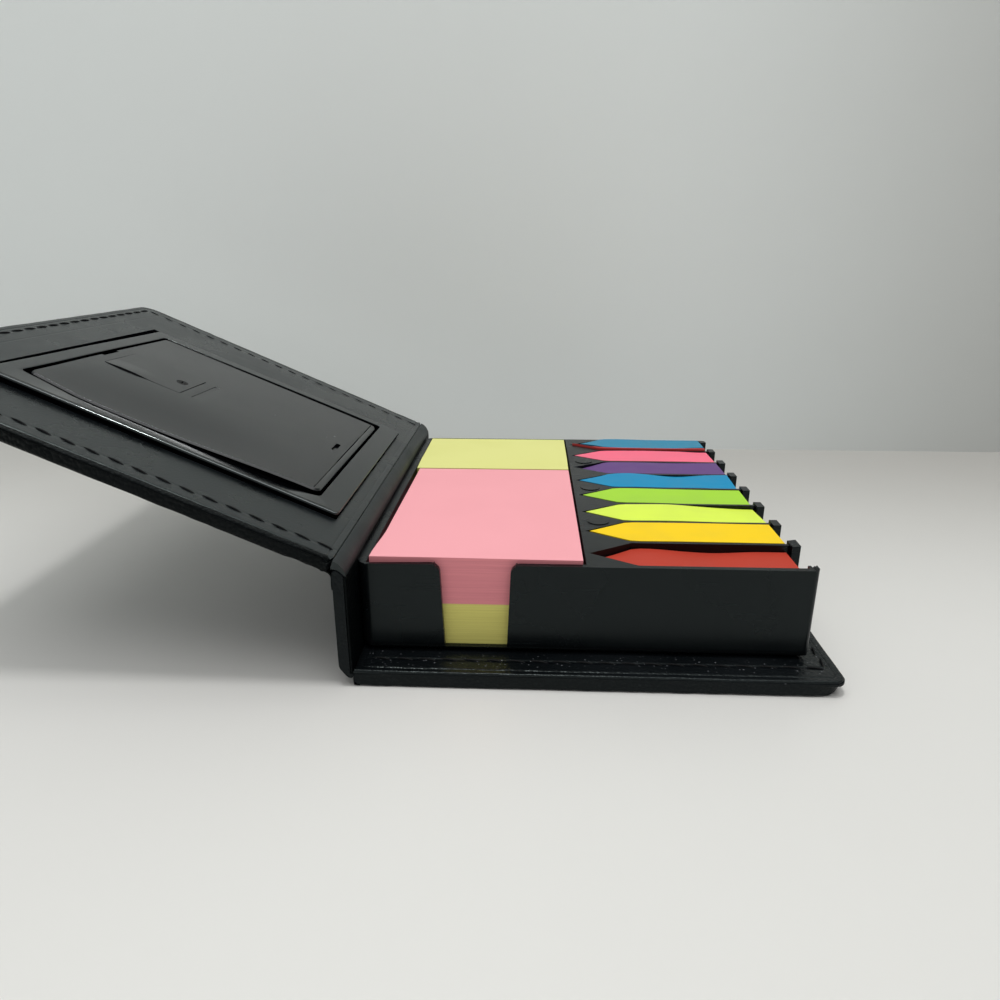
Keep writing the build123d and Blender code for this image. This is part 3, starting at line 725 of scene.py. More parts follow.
def sewRow(model, start, finish, height, row):
    start, run = Vector(start), Vector(finish) - Vector(start)
    count = int(run.length / stitch["pitch"])
    turn = math.atan2(run.y, run.x) + math.radians(stitch["slant"])
    for index in range(count):
        middle = start + run * ((index + 0.5) / count)
        copy = addCopy("stitch", model.data)
        lift = noise.noise((middle.x * 0.7, middle.y * 0.7, height)) * stitch["waver"]
        turnTo(copy, (middle.x, middle.y, height + lift), turn, "Z")
        row.append(copy)


oneStitch = addStitch()
baseRow, lidRow = [], []
sideX, frontY, backY = (stitch[key] for key in ("baseSide", "baseFront", "baseBack"))
startX, endX, sideY = (stitch[key] for key in ("lidStart", "lidEnd", "lidSide"))
baseRuns = [
    ((-sideX, frontY), (sideX, frontY)), ((sideX, frontY), (sideX, backY)), ((-sideX, backY), (sideX, backY)),
]
for start, finish in baseRuns:
    sewRow(oneStitch, start, finish, stitch["baseTop"], baseRow)
lidRuns = [
    ((startX, sideY), (endX, sideY), 0), ((endX, -sideY), (endX, sideY), 0),
    ((startX, -sideY), (endX, -sideY), stitch["farDepth"]),  # pulled in deep along the far side
]
for start, finish, height in lidRuns:
    sewRow(oneStitch, start, finish, height, lidRow)
bpy.data.objects.remove(oneStitch, do_unlink=True)
baseSewing = joinPieces("baseSewing", baseRow)
lidSewing = joinPieces("lidSewing", lidRow)
seatOnLid(lidSewing)
dress(baseSewing, [thread], "stand", "thread", "base_stitching")
dress(lidSewing, [thread], "lid", "thread", "lid_stitching")
print("stitches ready:", len(baseRow), len(lidRow))


# spine: a leatherette wrap, its foot drawn in to the base's fold, open to the tray where its board goes in
spine = {
    "outline": [
        (-57.32, 2.35), (-57.75, 2.15), (-58.25, 2.25), (-58.9, 2.75), (-59.7, 3.55), (-60.35, 4.4),
        (-60.64, 5.2), (-60.7, 6.2), (-60.7, 28.6), (-60.6, 29.3), (-60.2, 29.72), (-59.75, 29.78),
        (-59.3, 29.6), (-58.5, 29.1), (-57.93, 28.4), (-57.92, 3.32), (-57.32, 3.3),
    ],
    "steps": [-68.5, -68.2, -67.5] + [-66 + 6 * index for index in range(23)] + [67.5, 68.2, 68.5],
    "pocket": ((-60.0, -67.8, 4.0), (-57.0, 67.8, 29.05)), "outerFace": -59.0, "topFrom": 28.5,
    "ends": (67.4, 68.5), "endDraw": 0.22, "endDrop": 0.2, "ripple": 0.05,
    "lining": ((-57.9, -68.4, 3.35), (-57.3, 68.4, 28.1)), "liningRound": 0.2,
}
spineWrap = addProfile("spineWrap", spine["outline"], spine["steps"])
cutAway(spineWrap, addBlock("pocketCutter", *spine["pocket"]))
for vertex, x, y, z in spots(spineWrap):
    end = ease(abs(y), *spine["ends"])
    if x < spine["outerFace"]:
        ripple = spine["ripple"] * noise.noise((0, y * 0.15, z * 0.3))
        vertex.co.x += (spine["endDraw"] * end + ripple) * mm
    if z > spine["topFrom"]:
        vertex.co.z -= spine["endDrop"] * end * mm
smoothShade(spineWrap, 45)
dress(spineWrap, [leatherette], "stand", "leatherette", "spine_cover")
spineTop = addBlock("spineLining", *spine["lining"])
liningEnd, liningTop = spine["lining"][1][1:]


def onLiningEnd(a, b):  # the lining's top edges and those of its two ends
    atEnd = min(abs(a.y), abs(b.y)) > liningEnd - 0.1 and a.y * b.y > 0
    return atEnd or min(a.z, b.z) > liningTop - slack


roundPicked(spineTop, onLiningEnd, spine["liningRound"], 2)
smoothShade(spineTop)
dress(spineTop, [spineInside], "stand", "lining", "spine_lining")


# the fold's two strips bend between the spine and the lid
fold = {
    "depthSteps": [-68.2 + 136.4 * index / 40 for index in range(41)], "crease": 0.06,
    "lidEdge": (1.45, -0.01), "slopeCorner": (-0.9, -0.1), "trayEdge": (-57.32, 28.45), "slopeSteps": 9,
    "slackRun": [
        (-57.34, 28.12), (-57.95, 28.5), (-58.6, 29.2), (-59.4, 29.72), (-60.1, 29.9), (-60.62, 29.95),
    ],
    "lidFoot": [(1.4, -1.6), (1.42, -0.7)],
    "outsideThick": 0.26, "spineStart": (-60.71, 24.7),
    "spineFace": -60.72, "spineHeights": (25.8, 26.8, 27.2),
    "creaseCorner": (-60.9, 28.2), "creaseSteps": 8, "lidFace": -3.62, "lidRun": (2.4, 3.4, 4.4, 5.45),
    "thinEnd": 0.3, "thinStep": 0.25, "turnedIn": 0.018, "turnHeights": (25.5, 28.6),
}


def lidPoint(along, out):
    spot = lidOrigin + (lidAlong * along + lidOut * out) * mm
    return Vector((spot.x, spot.z)) / mm


def curveThrough(start, corner, finish, count):
    shares = [index / count for index in range(count + 1)]
    return [start.lerp(corner, share).lerp(corner.lerp(finish, share), share) for share in shares]


# inside: from the lid's lining over the fold and down to the tray's rim, with the slack tucked under it
slopeEnds = (lidPoint(*fold["lidEdge"]), lidPoint(*fold["slopeCorner"]), Vector(fold["trayEdge"]))
insidePath = curveThrough(*slopeEnds, fold["slopeSteps"])
insidePath += [Vector(spot) for spot in fold["slackRun"]]
insidePath += [lidPoint(*spot) for spot in fold["lidFoot"]]
foldInside = addProfile("foldInside", insidePath, fold["depthSteps"])
# outside: close on the spine's face, creased under the lid, then close on the lid's face
halfThick = fold["outsideThick"] / 2
onSpine, onLid = fold["spineFace"] - halfThick, fold["lidFace"] - halfThick
lowHeight, midHeight, bendHeight = fold["spineHeights"]
lidRun = [lidPoint(along, onLid) for along in fold["lidRun"]]
outsidePath = [Vector(fold["spineStart"]), Vector((fold["spineFace"] - halfThick * 0.6, lowHeight))]
outsidePath.append(Vector((onSpine, midHeight)))
creaseEnds = (Vector((onSpine, bendHeight)), Vector(fold["creaseCorner"]), lidRun[0])
outsidePath += curveThrough(*creaseEnds, fold["creaseSteps"]) + lidRun[1:]
outer, inner = [], []
last = len(outsidePath) - 1
for index, point in enumerate(outsidePath):
    run = (outsidePath[min(index + 1, last)] - outsidePath[max(index - 1, 0)]).normalized()
    thin = min(fold["thinEnd"] + fold["thinStep"] * min(index, last - index), 1)
    side = Vector((-run.y, run.x)) * halfThick * thin
    outer.append(point + side)
    inner.append(point - side)
foldOutside = addProfile("foldOutside", outer + inner[::-1], fold["depthSteps"])
for vertex in foldOutside.data.vertices:  # turned in at both ends
    vertex.co.y *= 1 - fold["turnedIn"] * ease(vertex.co.z / mm, *fold["turnHeights"])
strips = [
    (foldInside, "hinge_lining", "lining", lining),
    (foldOutside, "hinge_cover", "leatherette", leatherette),
]
for strip, cadNode, slotName, material in strips:
    for vertex, x, y, z in spots(strip):  # small creases across the fold
        vertex.co.z += fold["crease"] * noise.noise((x * 0.4, y * 0.35, z * 0.4)) * mm
    smoothShade(strip, 50, False)
    strip.data.materials.append(material)
    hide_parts(cadNode)
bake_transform(foldInside)
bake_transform(foldOutside)
print("spine and fold ready")


# tray: the moulding with its edges eased
tray = {
    "edge": 0.22, "edgeSteps": 2, "edgeAngle": 32, "rimPlace": -55.3, "rimLean": 0.35, "topFrom": 27.2,
    "markFloor": 27.1, "markRise": 0.4, "burrFrom": 51.2, "burrFront": -38, "burr": 0.3,
    "sides": (-57.3, 51.3), "foot": 4.0, "footRound": 2.4, "footTurn": 15, "reach": 70,
    "nicks": ((50.35, 0.4), (50.95, 0.22)), "nickFront": -57.5, "nickTop": 27.45, "nickReach": 3,
}
noteTray = copyNode("note_tray", "noteTray")
# the left rim slopes in, the deck's marks stand up and the first posts carry a burr
for vertex, x, y, z in spots(noteTray):
    onTop = z > tray["topFrom"]
    if abs(x - tray["rimPlace"]) < 0.2 and onTop:
        vertex.co.z -= tray["rimLean"] * mm
    if abs(z - tray["markFloor"]) < 2 * slack:
        vertex.co.z += tray["markRise"] * mm
    if x > tray["burrFrom"] and y < tray["burrFront"] and onTop:
        vertex.co.z += tray["burr"] * (0.5 + noise.noise((x * 3, y * 2.3, 4))) * mm
footRound, footLevel, reach = tray["footRound"], tray["foot"], tray["reach"]
arcPoints = []
for index in range(7):
    turn = math.radians(tray["footTurn"] * index)
    arcPoints.append((footRound * (1 - math.cos(turn)), footLevel + footRound * (1 - math.sin(turn))))
arcPoints += [(footRound, footLevel - 1), (-1, footLevel - 1), (-1, footLevel + footRound)]
for end, inward in zip(tray["sides"], (1, -1)):
    footOutline = [(end + inward * across, height) for across, height in arcPoints]
    cutAway(noteTray, addProfile("footCutter", footOutline, [-reach, reach]))
for place, size in tray["nicks"]:  # two nicks left by the trimming
    nick = addAround("nickCutter", (0, 0), (size, tray["nickReach"]), -size, size)
    turnTo(nick, (place, tray["nickFront"], tray["nickTop"]), math.pi / 4, "Y")
    cutAway(noteTray, nick)
roundEdges(noteTray, tray["edge"], tray["edgeSteps"], tray["edgeAngle"])
smoothShade(noteTray, 40)
dress(noteTray, [trayPlastic], "stand", "tray_plastic", "note_tray")
print("tray ready,", len(noteTray.data.polygons), "faces")


def finishStack(piece, name, settings, tones, limit, node, slotName):  # tones of its top and of its edge, the edge's darker as painted shade
    top = sheetMaterial(name + "Face", settings, *tones[0], False)
    edge = sheetMaterial(name + "Edge", settings, *tones[1], True)
    dress(piece, [top, edge], node, slotName, node)
    sortFaces(piece, lambda middle, normal: abs(normal.z) <= limit)
    smoothShade(piece, 40)


# note pads: loose sheets that don't quite line up, the pink one bowed on its left and lower at its far end
paperLook = {
    "sheets": 2600.0, "drift": 35.0, "fibrous": True, "rough": (0.72, 0.88),
    "faceBump": (0.08, 0.03), "edgeBump": (0.16, 0.08),
}
# each pad's edge tones are darker than its top: painted shade on the sides, over real streaks of the sheet
# edges
rearTones = {"top": ((227, 227, 147), (225, 225, 144)), "edge": ((222, 216, 126), (188, 180, 96))}
padLooks = {
    "pinkPad": {
        "node": "front_upper_pad", "slot": "pink_paper", "bow": 1.0, "sag": 0.7, "dip": 0, "seed": 1,
        "top": ((247, 172, 179), (245, 170, 177)), "edge": ((240, 152, 158), (231, 143, 151)),
    },
    "yellowPad": {
        "node": "front_lower_pad", "slot": "yellow_paper", "bow": 0.3, "sag": 0, "dip": 0, "seed": 5,
        "top": ((228, 226, 140), (226, 223, 137)), "edge": ((233, 225, 129), (222, 213, 119)),
    },
    "rearPad": {
        "node": "rear_upper_pad", "slot": "yellow_paper", "bow": 0.2, "sag": 0, "dip": 0.5, "seed": 9,
        **rearTones,
    },
    "rearLowerPad": {
        "node": "rear_lower_pad", "slot": "yellow_paper", "bow": 0.2, "sag": 0, "dip": 0, "seed": 13,
        **rearTones,
    },
}
pads = {
    "cuts": 23, "shuffle": 0.06, "edgeBand": (6, 0.5), "topLimit": 0.7, "bowReach": 12, "bowFront": (1, 18),
    "bowFoot": 1, "bowTop": 2, "topFrom": 2, "farSag": 0.85, "farFrom": 10,
    "cornerSag": 0.35, "cornerFrom": 8, "cornerEnd": 6, "dipReach": 12,
}
for name, look in padLooks.items():
    pad, low, high = addStack(name, look["node"], pads["cuts"])
    for vertex, x, y, z in spots(pad):
        layer = round((z - low.z) / (high.z - low.z) * (pads["cuts"] + 1)) * 1.7
        edgeX = ease(min(x - low.x, high.x - x), *pads["edgeBand"])
        edgeY = ease(min(y - low.y, high.y - y), *pads["edgeBand"])
        shiftX = pads["shuffle"] * noise.noise((layer, look["seed"], 0.3)) * edgeX
        shiftY = pads["shuffle"] * noise.noise((layer, look["seed"], 7.9)) * edgeY
        drawnIn = ease(x, low.x + pads["bowReach"], low.x) * ease(y - low.y, *pads["bowFront"])
        drawnIn *= ease(z, low.z + pads["bowFoot"], high.z - pads["bowTop"])
        top = ease(z, low.z + pads["topFrom"], high.z)
        corner = ease(x, low.x + pads["cornerFrom"], high.x) * ease(y, high.y, low.y + pads["cornerEnd"])
        slope = pads["farSag"] * ease(y, low.y + pads["farFrom"], high.y) + pads["cornerSag"] * corner
        dip = look["dip"] * ease(y, low.y + pads["dipReach"], low.y)
        drop = look["sag"] * top * slope + dip * top
        vertex.co += Vector((shiftX + look["bow"] * drawnIn, shiftY - dip, -drop)) * mm
    tones = (look["top"], look["edge"])
    finishStack(pad, name, paperLook, tones, pads["topLimit"], look["node"], look["slot"])
print("pads ready")


# arrow flags: each wave is (place along the flag, width, lift of the near edge, lift of the far edge)
filmLook = {
    "sheets": 4000.0, "drift": 90.0, "fibrous": False, "rough": (0.42, 0.55),
    "faceBump": (0.05, 0.02), "edgeBump": (0.3, 0.08),
}
flagLooks = {
    "red_flag": {"tone": (190, 66, 50), "waves": [(0.27, 0.2, 0.0, 0.45), (0.62, 0.25, 0.0, -0.5)]},
    "orange_flag": {"tone": (255, 214, 24), "waves": [(0.5, 0.5, 0.1, 0.12)]},
    "lime_flag": {"tone": (226, 250, 88), "waves": [(1.0, 0.55, -0.25, -1.1), (0.45, 0.3, 0.12, 0.2)]},
    "green_flag": {"tone": (170, 222, 64), "waves": [(0.95, 0.5, -0.5, -0.15), (0.3, 0.3, 0.1, 0.15)]},
    "blue_flag": {
        "tone": (30, 144, 190),
        "waves": [(0.33, 0.22, 0.1, 0.55), (0.66, 0.2, 0.0, -0.55), (0.98, 0.2, -0.5, 0.25)],
    },
    "purple_flag": {"tone": (106, 74, 132), "waves": [(0.02, 0.25, -0.9, -0.9), (0.7, 0.3, 0.0, -0.15)]},
    "pink_flag": {"tone": (255, 118, 144), "waves": [(0.5, 0.4, 0.05, 0.2), (0.97, 0.2, -0.1, -0.3)]},
    # the far red's edge keeps close to its face tone, with less painted shade than the other flags
    "far_red_flag": {"tone": (206, 74, 72), "waves": [(0.5, 9.0, 2.5, 0.3)], "edge": (1.0, 0.86)},
    "far_blue_flag": {
        "tone": (60, 140, 172), "waves": [(0.5, 9.0, 0.5, 0.5), (0.35, 0.3, -0.1, 0.25)],
        "tipBack": 3.0, "back": [(0.05, 0.45, 3.5), (0.5, 0.4, 1.5), (1.0, 0.35, 2.7)],
    },
}
# edgeShadeShares darken each film's edges below its face tone, as painted shade
flags = {
    "cuts": 19, "tip": 10.3, "shuffle": 0.06, "liftPower": 1.5, "nearBand": (0.8, -1), "tipReach": 0.35,
    "faceShares": (1.0, 0.98), "edgeShadeShares": (0.8, 0.5), "topLimit": 0.6,
}
for node, look in flagLooks.items():
    flag, low, high = addStack(node.replace("_flag", "Flag"), node, flags["cuts"])
    middle, half = (low.y + high.y) / 2, (high.y - low.y) / 2
    for vertex, x, y, z in spots(flag):
        along, up = (x - low.x) / (high.x - low.x), (z - low.z) / (high.z - low.z)
        across = (y - middle) / half
        tipShare = min(max((x - low.x) / flags["tip"], 0), 1)
        y = middle + (y - middle) * tipShare
        layer = round(up * (flags["cuts"] + 1)) * 1.9
        x += flags["shuffle"] * noise.noise((layer, low.y, 0.4))
        y += flags["shuffle"] * noise.noise((layer, low.y, 5.7))
        for place, width, nearLift, farLift in look["waves"]:
            wave = ease(abs(along - place), width, 0)
            lift = nearLift + (farLift - nearLift) * (across + 1) / 2
            z += lift * wave * up ** flags["liftPower"]
        for place, width, shift in look.get("back", []):  # its near edge lies back from the red one under it
            nearEdge = ease(across, *flags["nearBand"])
            y += shift * ease(abs(along - place), width, 0) * nearEdge * tipShare
        x += look.get("tipBack", 0) * ease(along, flags["tipReach"], 0)
        vertex.co = Vector((x, y, z)) * mm
    mergeClose(flag)
    tones = []
    for shares in (flags["faceShares"], look.get("edge", flags["edgeShadeShares"])):
        tones.append([[channel * share for channel in look["tone"]] for share in shares])
    filmName, slotName = node.replace("_flag", "Film"), node.replace("_flag", "_film")
    finishStack(flag, filmName, filmLook, tones, flags["topLimit"], node, slotName)
print("flags ready")


# back of the clock: bezel, cover, battery door and screw
clock = {
    "frame": ((6.3, -40.4, -0.58), (96.7, 47.15, 1.6)), "paintedShadeFlange": ((6.3, -43.2, -0.58), (99.9, 47.15, -0.34)),
    "bezelCorner": 1.3, "rimRound": 0.6, "lipRound": 0.22, "lip": ((12.0, 93.0), (-37.4, 41.4)),
    "recess": [(12.9, 40.9), (13.0, -36.7), (92.25, -35.3), (92.3, 39.5)], "recessCorner": 1.2,
    "wellInset": 5.0, "cutLevels": (-3, 4), "gapLevels": (-0.3, 0.4),
    "beadSlope": 0.68, "beadEnds": (8, 95.2), "beadFoot": 0.9, "beadNormals": (0.7, 0.95),
    "beadLine": (46.03, 46.2), "lineEnds": (8.4, 95.0), "lineLevels": (1.4, 1.58, 2),
    "spread": ((6.3, 100.4), (-43.85, 47.15)), "slices": 12, "farSink": 0.5, "sinkRange": (14, -40),
    "nearRise": 0.3, "riseRange": (20, 47), "tiltRange": (15, 96), "sag": 1.5, "sagEnd": (95, 74),
    "sagNear": (45.9, 42), "sagFar": (16, 36), "bezelSag": (10, 24), "coverSag": (16, 62),
    "coverTop": 1.5, "coverEdge": (13.9, 91.6), "coverReach": 1.7, "reachBand": 3.8, "coverRound": 0.16,
    "groovePlace": 1.9, "grooveSize": (0.175, 35.2), "grooveDepth": 0.5, "gapDepth": 0.25, "cutTop": 3,
    "platePlace": (61.0, 1.5), "plateSize": (0.8, 8.6), "plateDepth": 0.12,
    "door": (22.2, 18.3), "doorFoot": 0.5, "doorFreeInset": 4.3, "doorCorner": 0.6, "doorRound": 0.1,
    "doorLift": 0.42, "liftStart": (-0.35, 0.3), "liftEnd": (1.25, 0.5),
    "screwInset": 3.4, "headHole": 1.65, "shankHole": 0.85, "head": 1.6, "shank": 0.8, "screwRound": 0.25,
    "headLevels": (0.9, 1.5), "shankFoot": -0.9, "drive": (1.0, 0.22), "driveFoot": 1.1, "driveTurn": 0.3,
}
frameNear, frameTop = clock["frame"][1][1:]
beadStart = frameNear - clock["rimRound"]
beadLow, beadHigh = clock["beadLine"]


def settle(piece, sagRange):  # lower at its far free corner, and sagging by its near bar
    for (low, high), along in zip(clock["spread"], ((1, 0, 0), (0, 1, 0))):
        sliceUp(piece, evenly(low, high, clock["slices"]), along)
    for vertex, x, y, z in spots(piece):
        if z > clock["gapLevels"][0]:
            rise = clock["nearRise"] * ease(y, *clock["riseRange"])
            tilt = (rise - clock["farSink"] * ease(y, *clock["sinkRange"])) * ease(x, *clock["tiltRange"])
            sag = clock["sag"] * ease(x, *sagRange) * ease(x, *clock["sagEnd"])
            sag *= ease(y, *clock["sagNear"]) * ease(y, *clock["sagFar"])
            vertex.co.z += (tilt - sag) * mm


def recessBlock(name, inset):
    zLow, zHigh = clock["cutLevels"]
    block = addBlock(name, (0, 0, zLow), (1, 1, zHigh))
    (foldNear, foldFar, freeFar, freeNear) = clock["recess"]
    for vertex in block.data.vertices:
        right, near = vertex.co.x > 0.5 * mm, vertex.co.y > 0.5 * mm
        corner = (freeNear if near else freeFar) if right else (foldNear if near else foldFar)
        vertex.co.x = (corner[0] + (-inset if right else inset)) * mm
        vertex.co.y = (corner[1] + (-inset if near else inset)) * mm
    return block


def insideLip(spot):
    (left, right), (far, near) = clock["lip"]
    return left < spot.x < right and far < spot.y < near


def onLip(a, b):
    return insideLip(a) and insideLip(b) and min(a.z, b.z) > frameTop - slack


def bezelPart(middle, normal):  # 1 where matte black is laid as painted shade on the flange, the frame's underside, the bead line and the low and inner walls, 2 on the bead, painted lighter as a painted highlight
    paintedShadeFlangeTop, gapTop = clock["gapLevels"]
    if middle.y > beadHigh and clock["beadNormals"][0] < normal.z < clock["beadNormals"][1]:
        return 2
    inLine = beadLow - 0.05 < middle.y < beadHigh + 0.05 and middle.z < clock["lineLevels"][1]
    onWall = abs(normal.z) < 0.4 and (insideLip(middle) or middle.z < gapTop)
    return middle.z < paintedShadeFlangeTop or inLine or onWall


bezel = addBlock("rearBezel", *clock["frame"])
roundPicked(bezel, upright, clock["bezelCorner"], 5)
roundPicked(bezel, atTop(frameTop), clock["rimRound"], 4)
recess = recessBlock("recessCutter", 0)
roundPicked(recess, upright, clock["recessCorner"], 5)
cutAway(bezel, recess)
roundPicked(bezel, onLip, clock["lipRound"], 3)
beadFrom, beadTo = clock["beadEnds"]
for vertex, x, y, z in spots(bezel):  # the near rim is a flat bead that catches the lamp
    if y > beadStart - slack and beadFrom < x < beadTo and z > clock["beadFoot"]:
        vertex.co.z = (frameTop - clock["beadSlope"] * (y - beadStart)) * mm
lineFrom, lineTo = clock["lineEnds"]
lineFoot, lineTop = clock["lineLevels"][::2]
cutAway(bezel, addBlock("beadCutter", (lineFrom, beadLow, lineFoot), (lineTo, beadHigh, lineTop)))
settle(bezel, clock["bezelSag"])
# a flange under the frame, painted black as painted shade in the moat round the bezel
paintedShadeFlange = addBlock("paintedShadeFlange", *clock["paintedShadeFlange"])
cutAway(paintedShadeFlange, recessBlock("wellCutter", clock["wellInset"]))
bezel = joinPieces("rearBezel", [bezel, paintedShadeFlange])
bezelLooks = [bezelPlastic, paintedShadeBlack, beadPaintedHighlight]
finishOnLid(bezel, 40, bezelLooks, bezelPart, "lid", "bezel_plastic", "rear_bezel")

coverTop, cutTop = clock["coverTop"], clock["cutTop"]
coverFold, coverFree = clock["coverEdge"]
cover = copyNode("rear_cover", "rearCover")
layFlat(cover)
for vertex in cover.data.vertices:  # it reaches close to the recess's edge by the fold
    if vertex.co.x / mm < coverFold + clock["reachBand"]:
        vertex.co.x -= clock["coverReach"] * mm
roundEdges(cover, clock["coverRound"], 2, 25)
grooveMiddle = (coverFold + clock["groovePlace"], moduleY)
grooveFoot, plateFoot = coverTop - clock["grooveDepth"], coverTop - clock["plateDepth"]
cutAway(cover, addAround("grooveCutter", grooveMiddle, clock["grooveSize"], grooveFoot, cutTop))
plate = (clock["platePlace"], clock["plateSize"])  # a bare sunk strip beside the screw
cutAway(cover, addAround("plateCutter", *plate, plateFoot, cutTop))
settle(cover, clock["coverSag"])
gapTop = coverTop - clock["gapDepth"]
# the cover's lower side walls painted black: painted shade in the gap round it
coverShadedSides = lambda middle, normal: abs(normal.z) < 0.4 and middle.z < gapTop
finishOnLid(cover, 35, [coverPlastic, paintedShadeBlack], coverShadedSides, "lid", "cover_plastic", "rear_cover")

doorHalf = [size / 2 for size in clock["door"]]
doorX = coverFree - clock["doorFreeInset"] - doorHalf[0]
doorNear = moduleY + doorHalf[1]
screwPlace = (doorX - doorHalf[0] + clock["screwInset"], moduleY)
headFoot, headTop = clock["headLevels"]
door = addAround("batteryDoor", (doorX, moduleY), doorHalf, clock["doorFoot"], coverTop)
roundPicked(door, upright, clock["doorCorner"], 4)
roundPicked(door, atTop(coverTop), clock["doorRound"], 2)
cutAway(door, addRound("headCutter", screwPlace, clock["headHole"], headFoot, cutTop))
cutAway(door, addRound("shankCutter", screwPlace, clock["shankHole"], 0, cutTop))
sliceUp(door, evenly(doorX - doorHalf[0], doorX + doorHalf[0], 9), (1, 0, 0))
sliceUp(door, evenly(moduleY, doorNear, 4), (0, 1, 0))
for vertex, x, y, z in spots(door):  # its near edge has sprung up a little
    along = (x - doorX) / doorHalf[0]
    sprung = ease(along, *clock["liftStart"]) * ease(along, *clock["liftEnd"]) * ease(y, moduleY, doorNear)
    vertex.co.z += clock["doorLift"] * sprung * mm
finishOnLid(door, 30, [coverPlastic], None, "battery_door", "cover_plastic", "battery_door")

screw = addRound("doorScrew", screwPlace, clock["head"], headFoot, headTop, 28)
roundPicked(screw, atTop(headTop), clock["screwRound"], 3)
for turn in (0, math.pi / 2):
    bar = addAround("driveCutter", (0, 0), clock["drive"], clock["driveFoot"], 2)
    turnTo(bar, (*screwPlace, 0), turn + clock["driveTurn"], "Z")
    cutAway(screw, bar)
shank = addRound("screwShank", screwPlace, clock["shank"], clock["shankFoot"], headFoot, 16)
roundPicked(shank, atFoot(clock["shankFoot"]), clock["screwRound"], 2)
screw = joinPieces("doorScrew", [screw, shank])
finishOnLid(screw, 35, [darkSteel], None, "door_screw", "steel", "door_screw")
print("clock back ready")


# face of the clock, on the lid's outer side
dial = {
    "outside": -5.8, "inside": -4.6, "displayY": -6.361, "lens": (60.0, 38.0), "border": 4.1,
    "ledgeGap": 0.04, "shellRound": 0.35, "lensRound": 0.15, "ink": (0.06, 0.01),
    "digits": "1008", "places": (-18.0, -7.4, 7.4, 18.0), "digitHeight": 15.0, "digitWidth": 8.0,
    "bar": 1.5, "barGap": 0.12, "barPoint": 0.85, "dots": (-0.35, 0.35), "dot": 0.9, "slope": 0.09,
}
shell = copyNode("front_shell", "frontShell")
roundEdges(shell, dial["shellRound"], 3, 40)
smoothShade(shell, 40)
dress(shell, [shellPlastic], "lid", "shell_plastic", "front_shell")
lens = copyNode("clock_lens", "clockLens")
layFlat(lens)
for vertex in lens.data.vertices:  # a hair off its ledge
    if vertex.co.z / mm > dial["outside"] + 0.5:
        vertex.co.z -= dial["ledgeGap"] * mm
roundEdges(lens, dial["lensRound"], 2, 40)
displayY = dial["displayY"]
viewX, viewY = (size / 2 - dial["border"] for size in dial["lens"])
sliceUp(lens, (moduleX - viewX, moduleX + viewX), (1, 0, 0))
sliceUp(lens, (displayY - viewY, displayY + viewY), (0, 1, 0))


def onBorder(middle, normal):
    return facingUp(middle, normal) and (abs(middle.x - moduleX) > viewX or abs(middle.y - displayY) > viewY)


finishOnLid(lens, 40, [lensClear, lensBorder], onBorder, "lid", "lens_clear", "clock_lens")

inkLow, inkHigh = (dial["inside"] - depth for depth in dial["ink"])


def addSegment(x, y, length, standing):  # one bar of a digit, pointed at both ends
    half, wide = length / 2 - dial["barGap"], dial["bar"] / 2
    bar = addAround("segment", (x, y), (wide, half) if standing else (half, wide), inkLow, inkHigh)
    roundPicked(bar, upright, wide * dial["barPoint"], 1)
    return bar


digitBars = {"0": "abcdef", "1": "bc", "8": "abcdefg"}
barPlaces = {  # across, up, and whether the bar stands
    "a": (0, 1, 0), "b": (0.5, 0.5, 1), "c": (0.5, -0.5, 1), "d": (0, -1, 0),
    "e": (-0.5, -0.5, 1), "f": (-0.5, 0.5, 1), "g": (0, 0, 0),
}
digitWidth, halfHeight = dial["digitWidth"], dial["digitHeight"] / 2
inkPieces = []
for digit, centre in zip(dial["digits"], dial["places"]):
    for letter in digitBars[digit]:
        across, up, standing = barPlaces[letter]
        length = halfHeight if standing else digitWidth
        inkPieces.append(addSegment(centre + across * digitWidth, up * halfHeight, length, standing))
for up in dial["dots"]:
    inkPieces.append(addRound("segment", (0, up * halfHeight), dial["dot"], inkLow, inkHigh, 16))
timeInk = joinPieces("timeInk", inkPieces)
for vertex in timeInk.data.vertices:
    x, y, z = vertex.co
    vertex.co.x = x + y * dial["slope"] + moduleX * mm
    vertex.co.y = displayY * mm - y
pick(timeInk, faces=everything)
bpy.ops.mesh.normals_make_consistent(inside=False)
leaveEdit()
seatOnLid(timeInk)
dress(timeInk, [lcdInk], "lid", "lcd_glass")

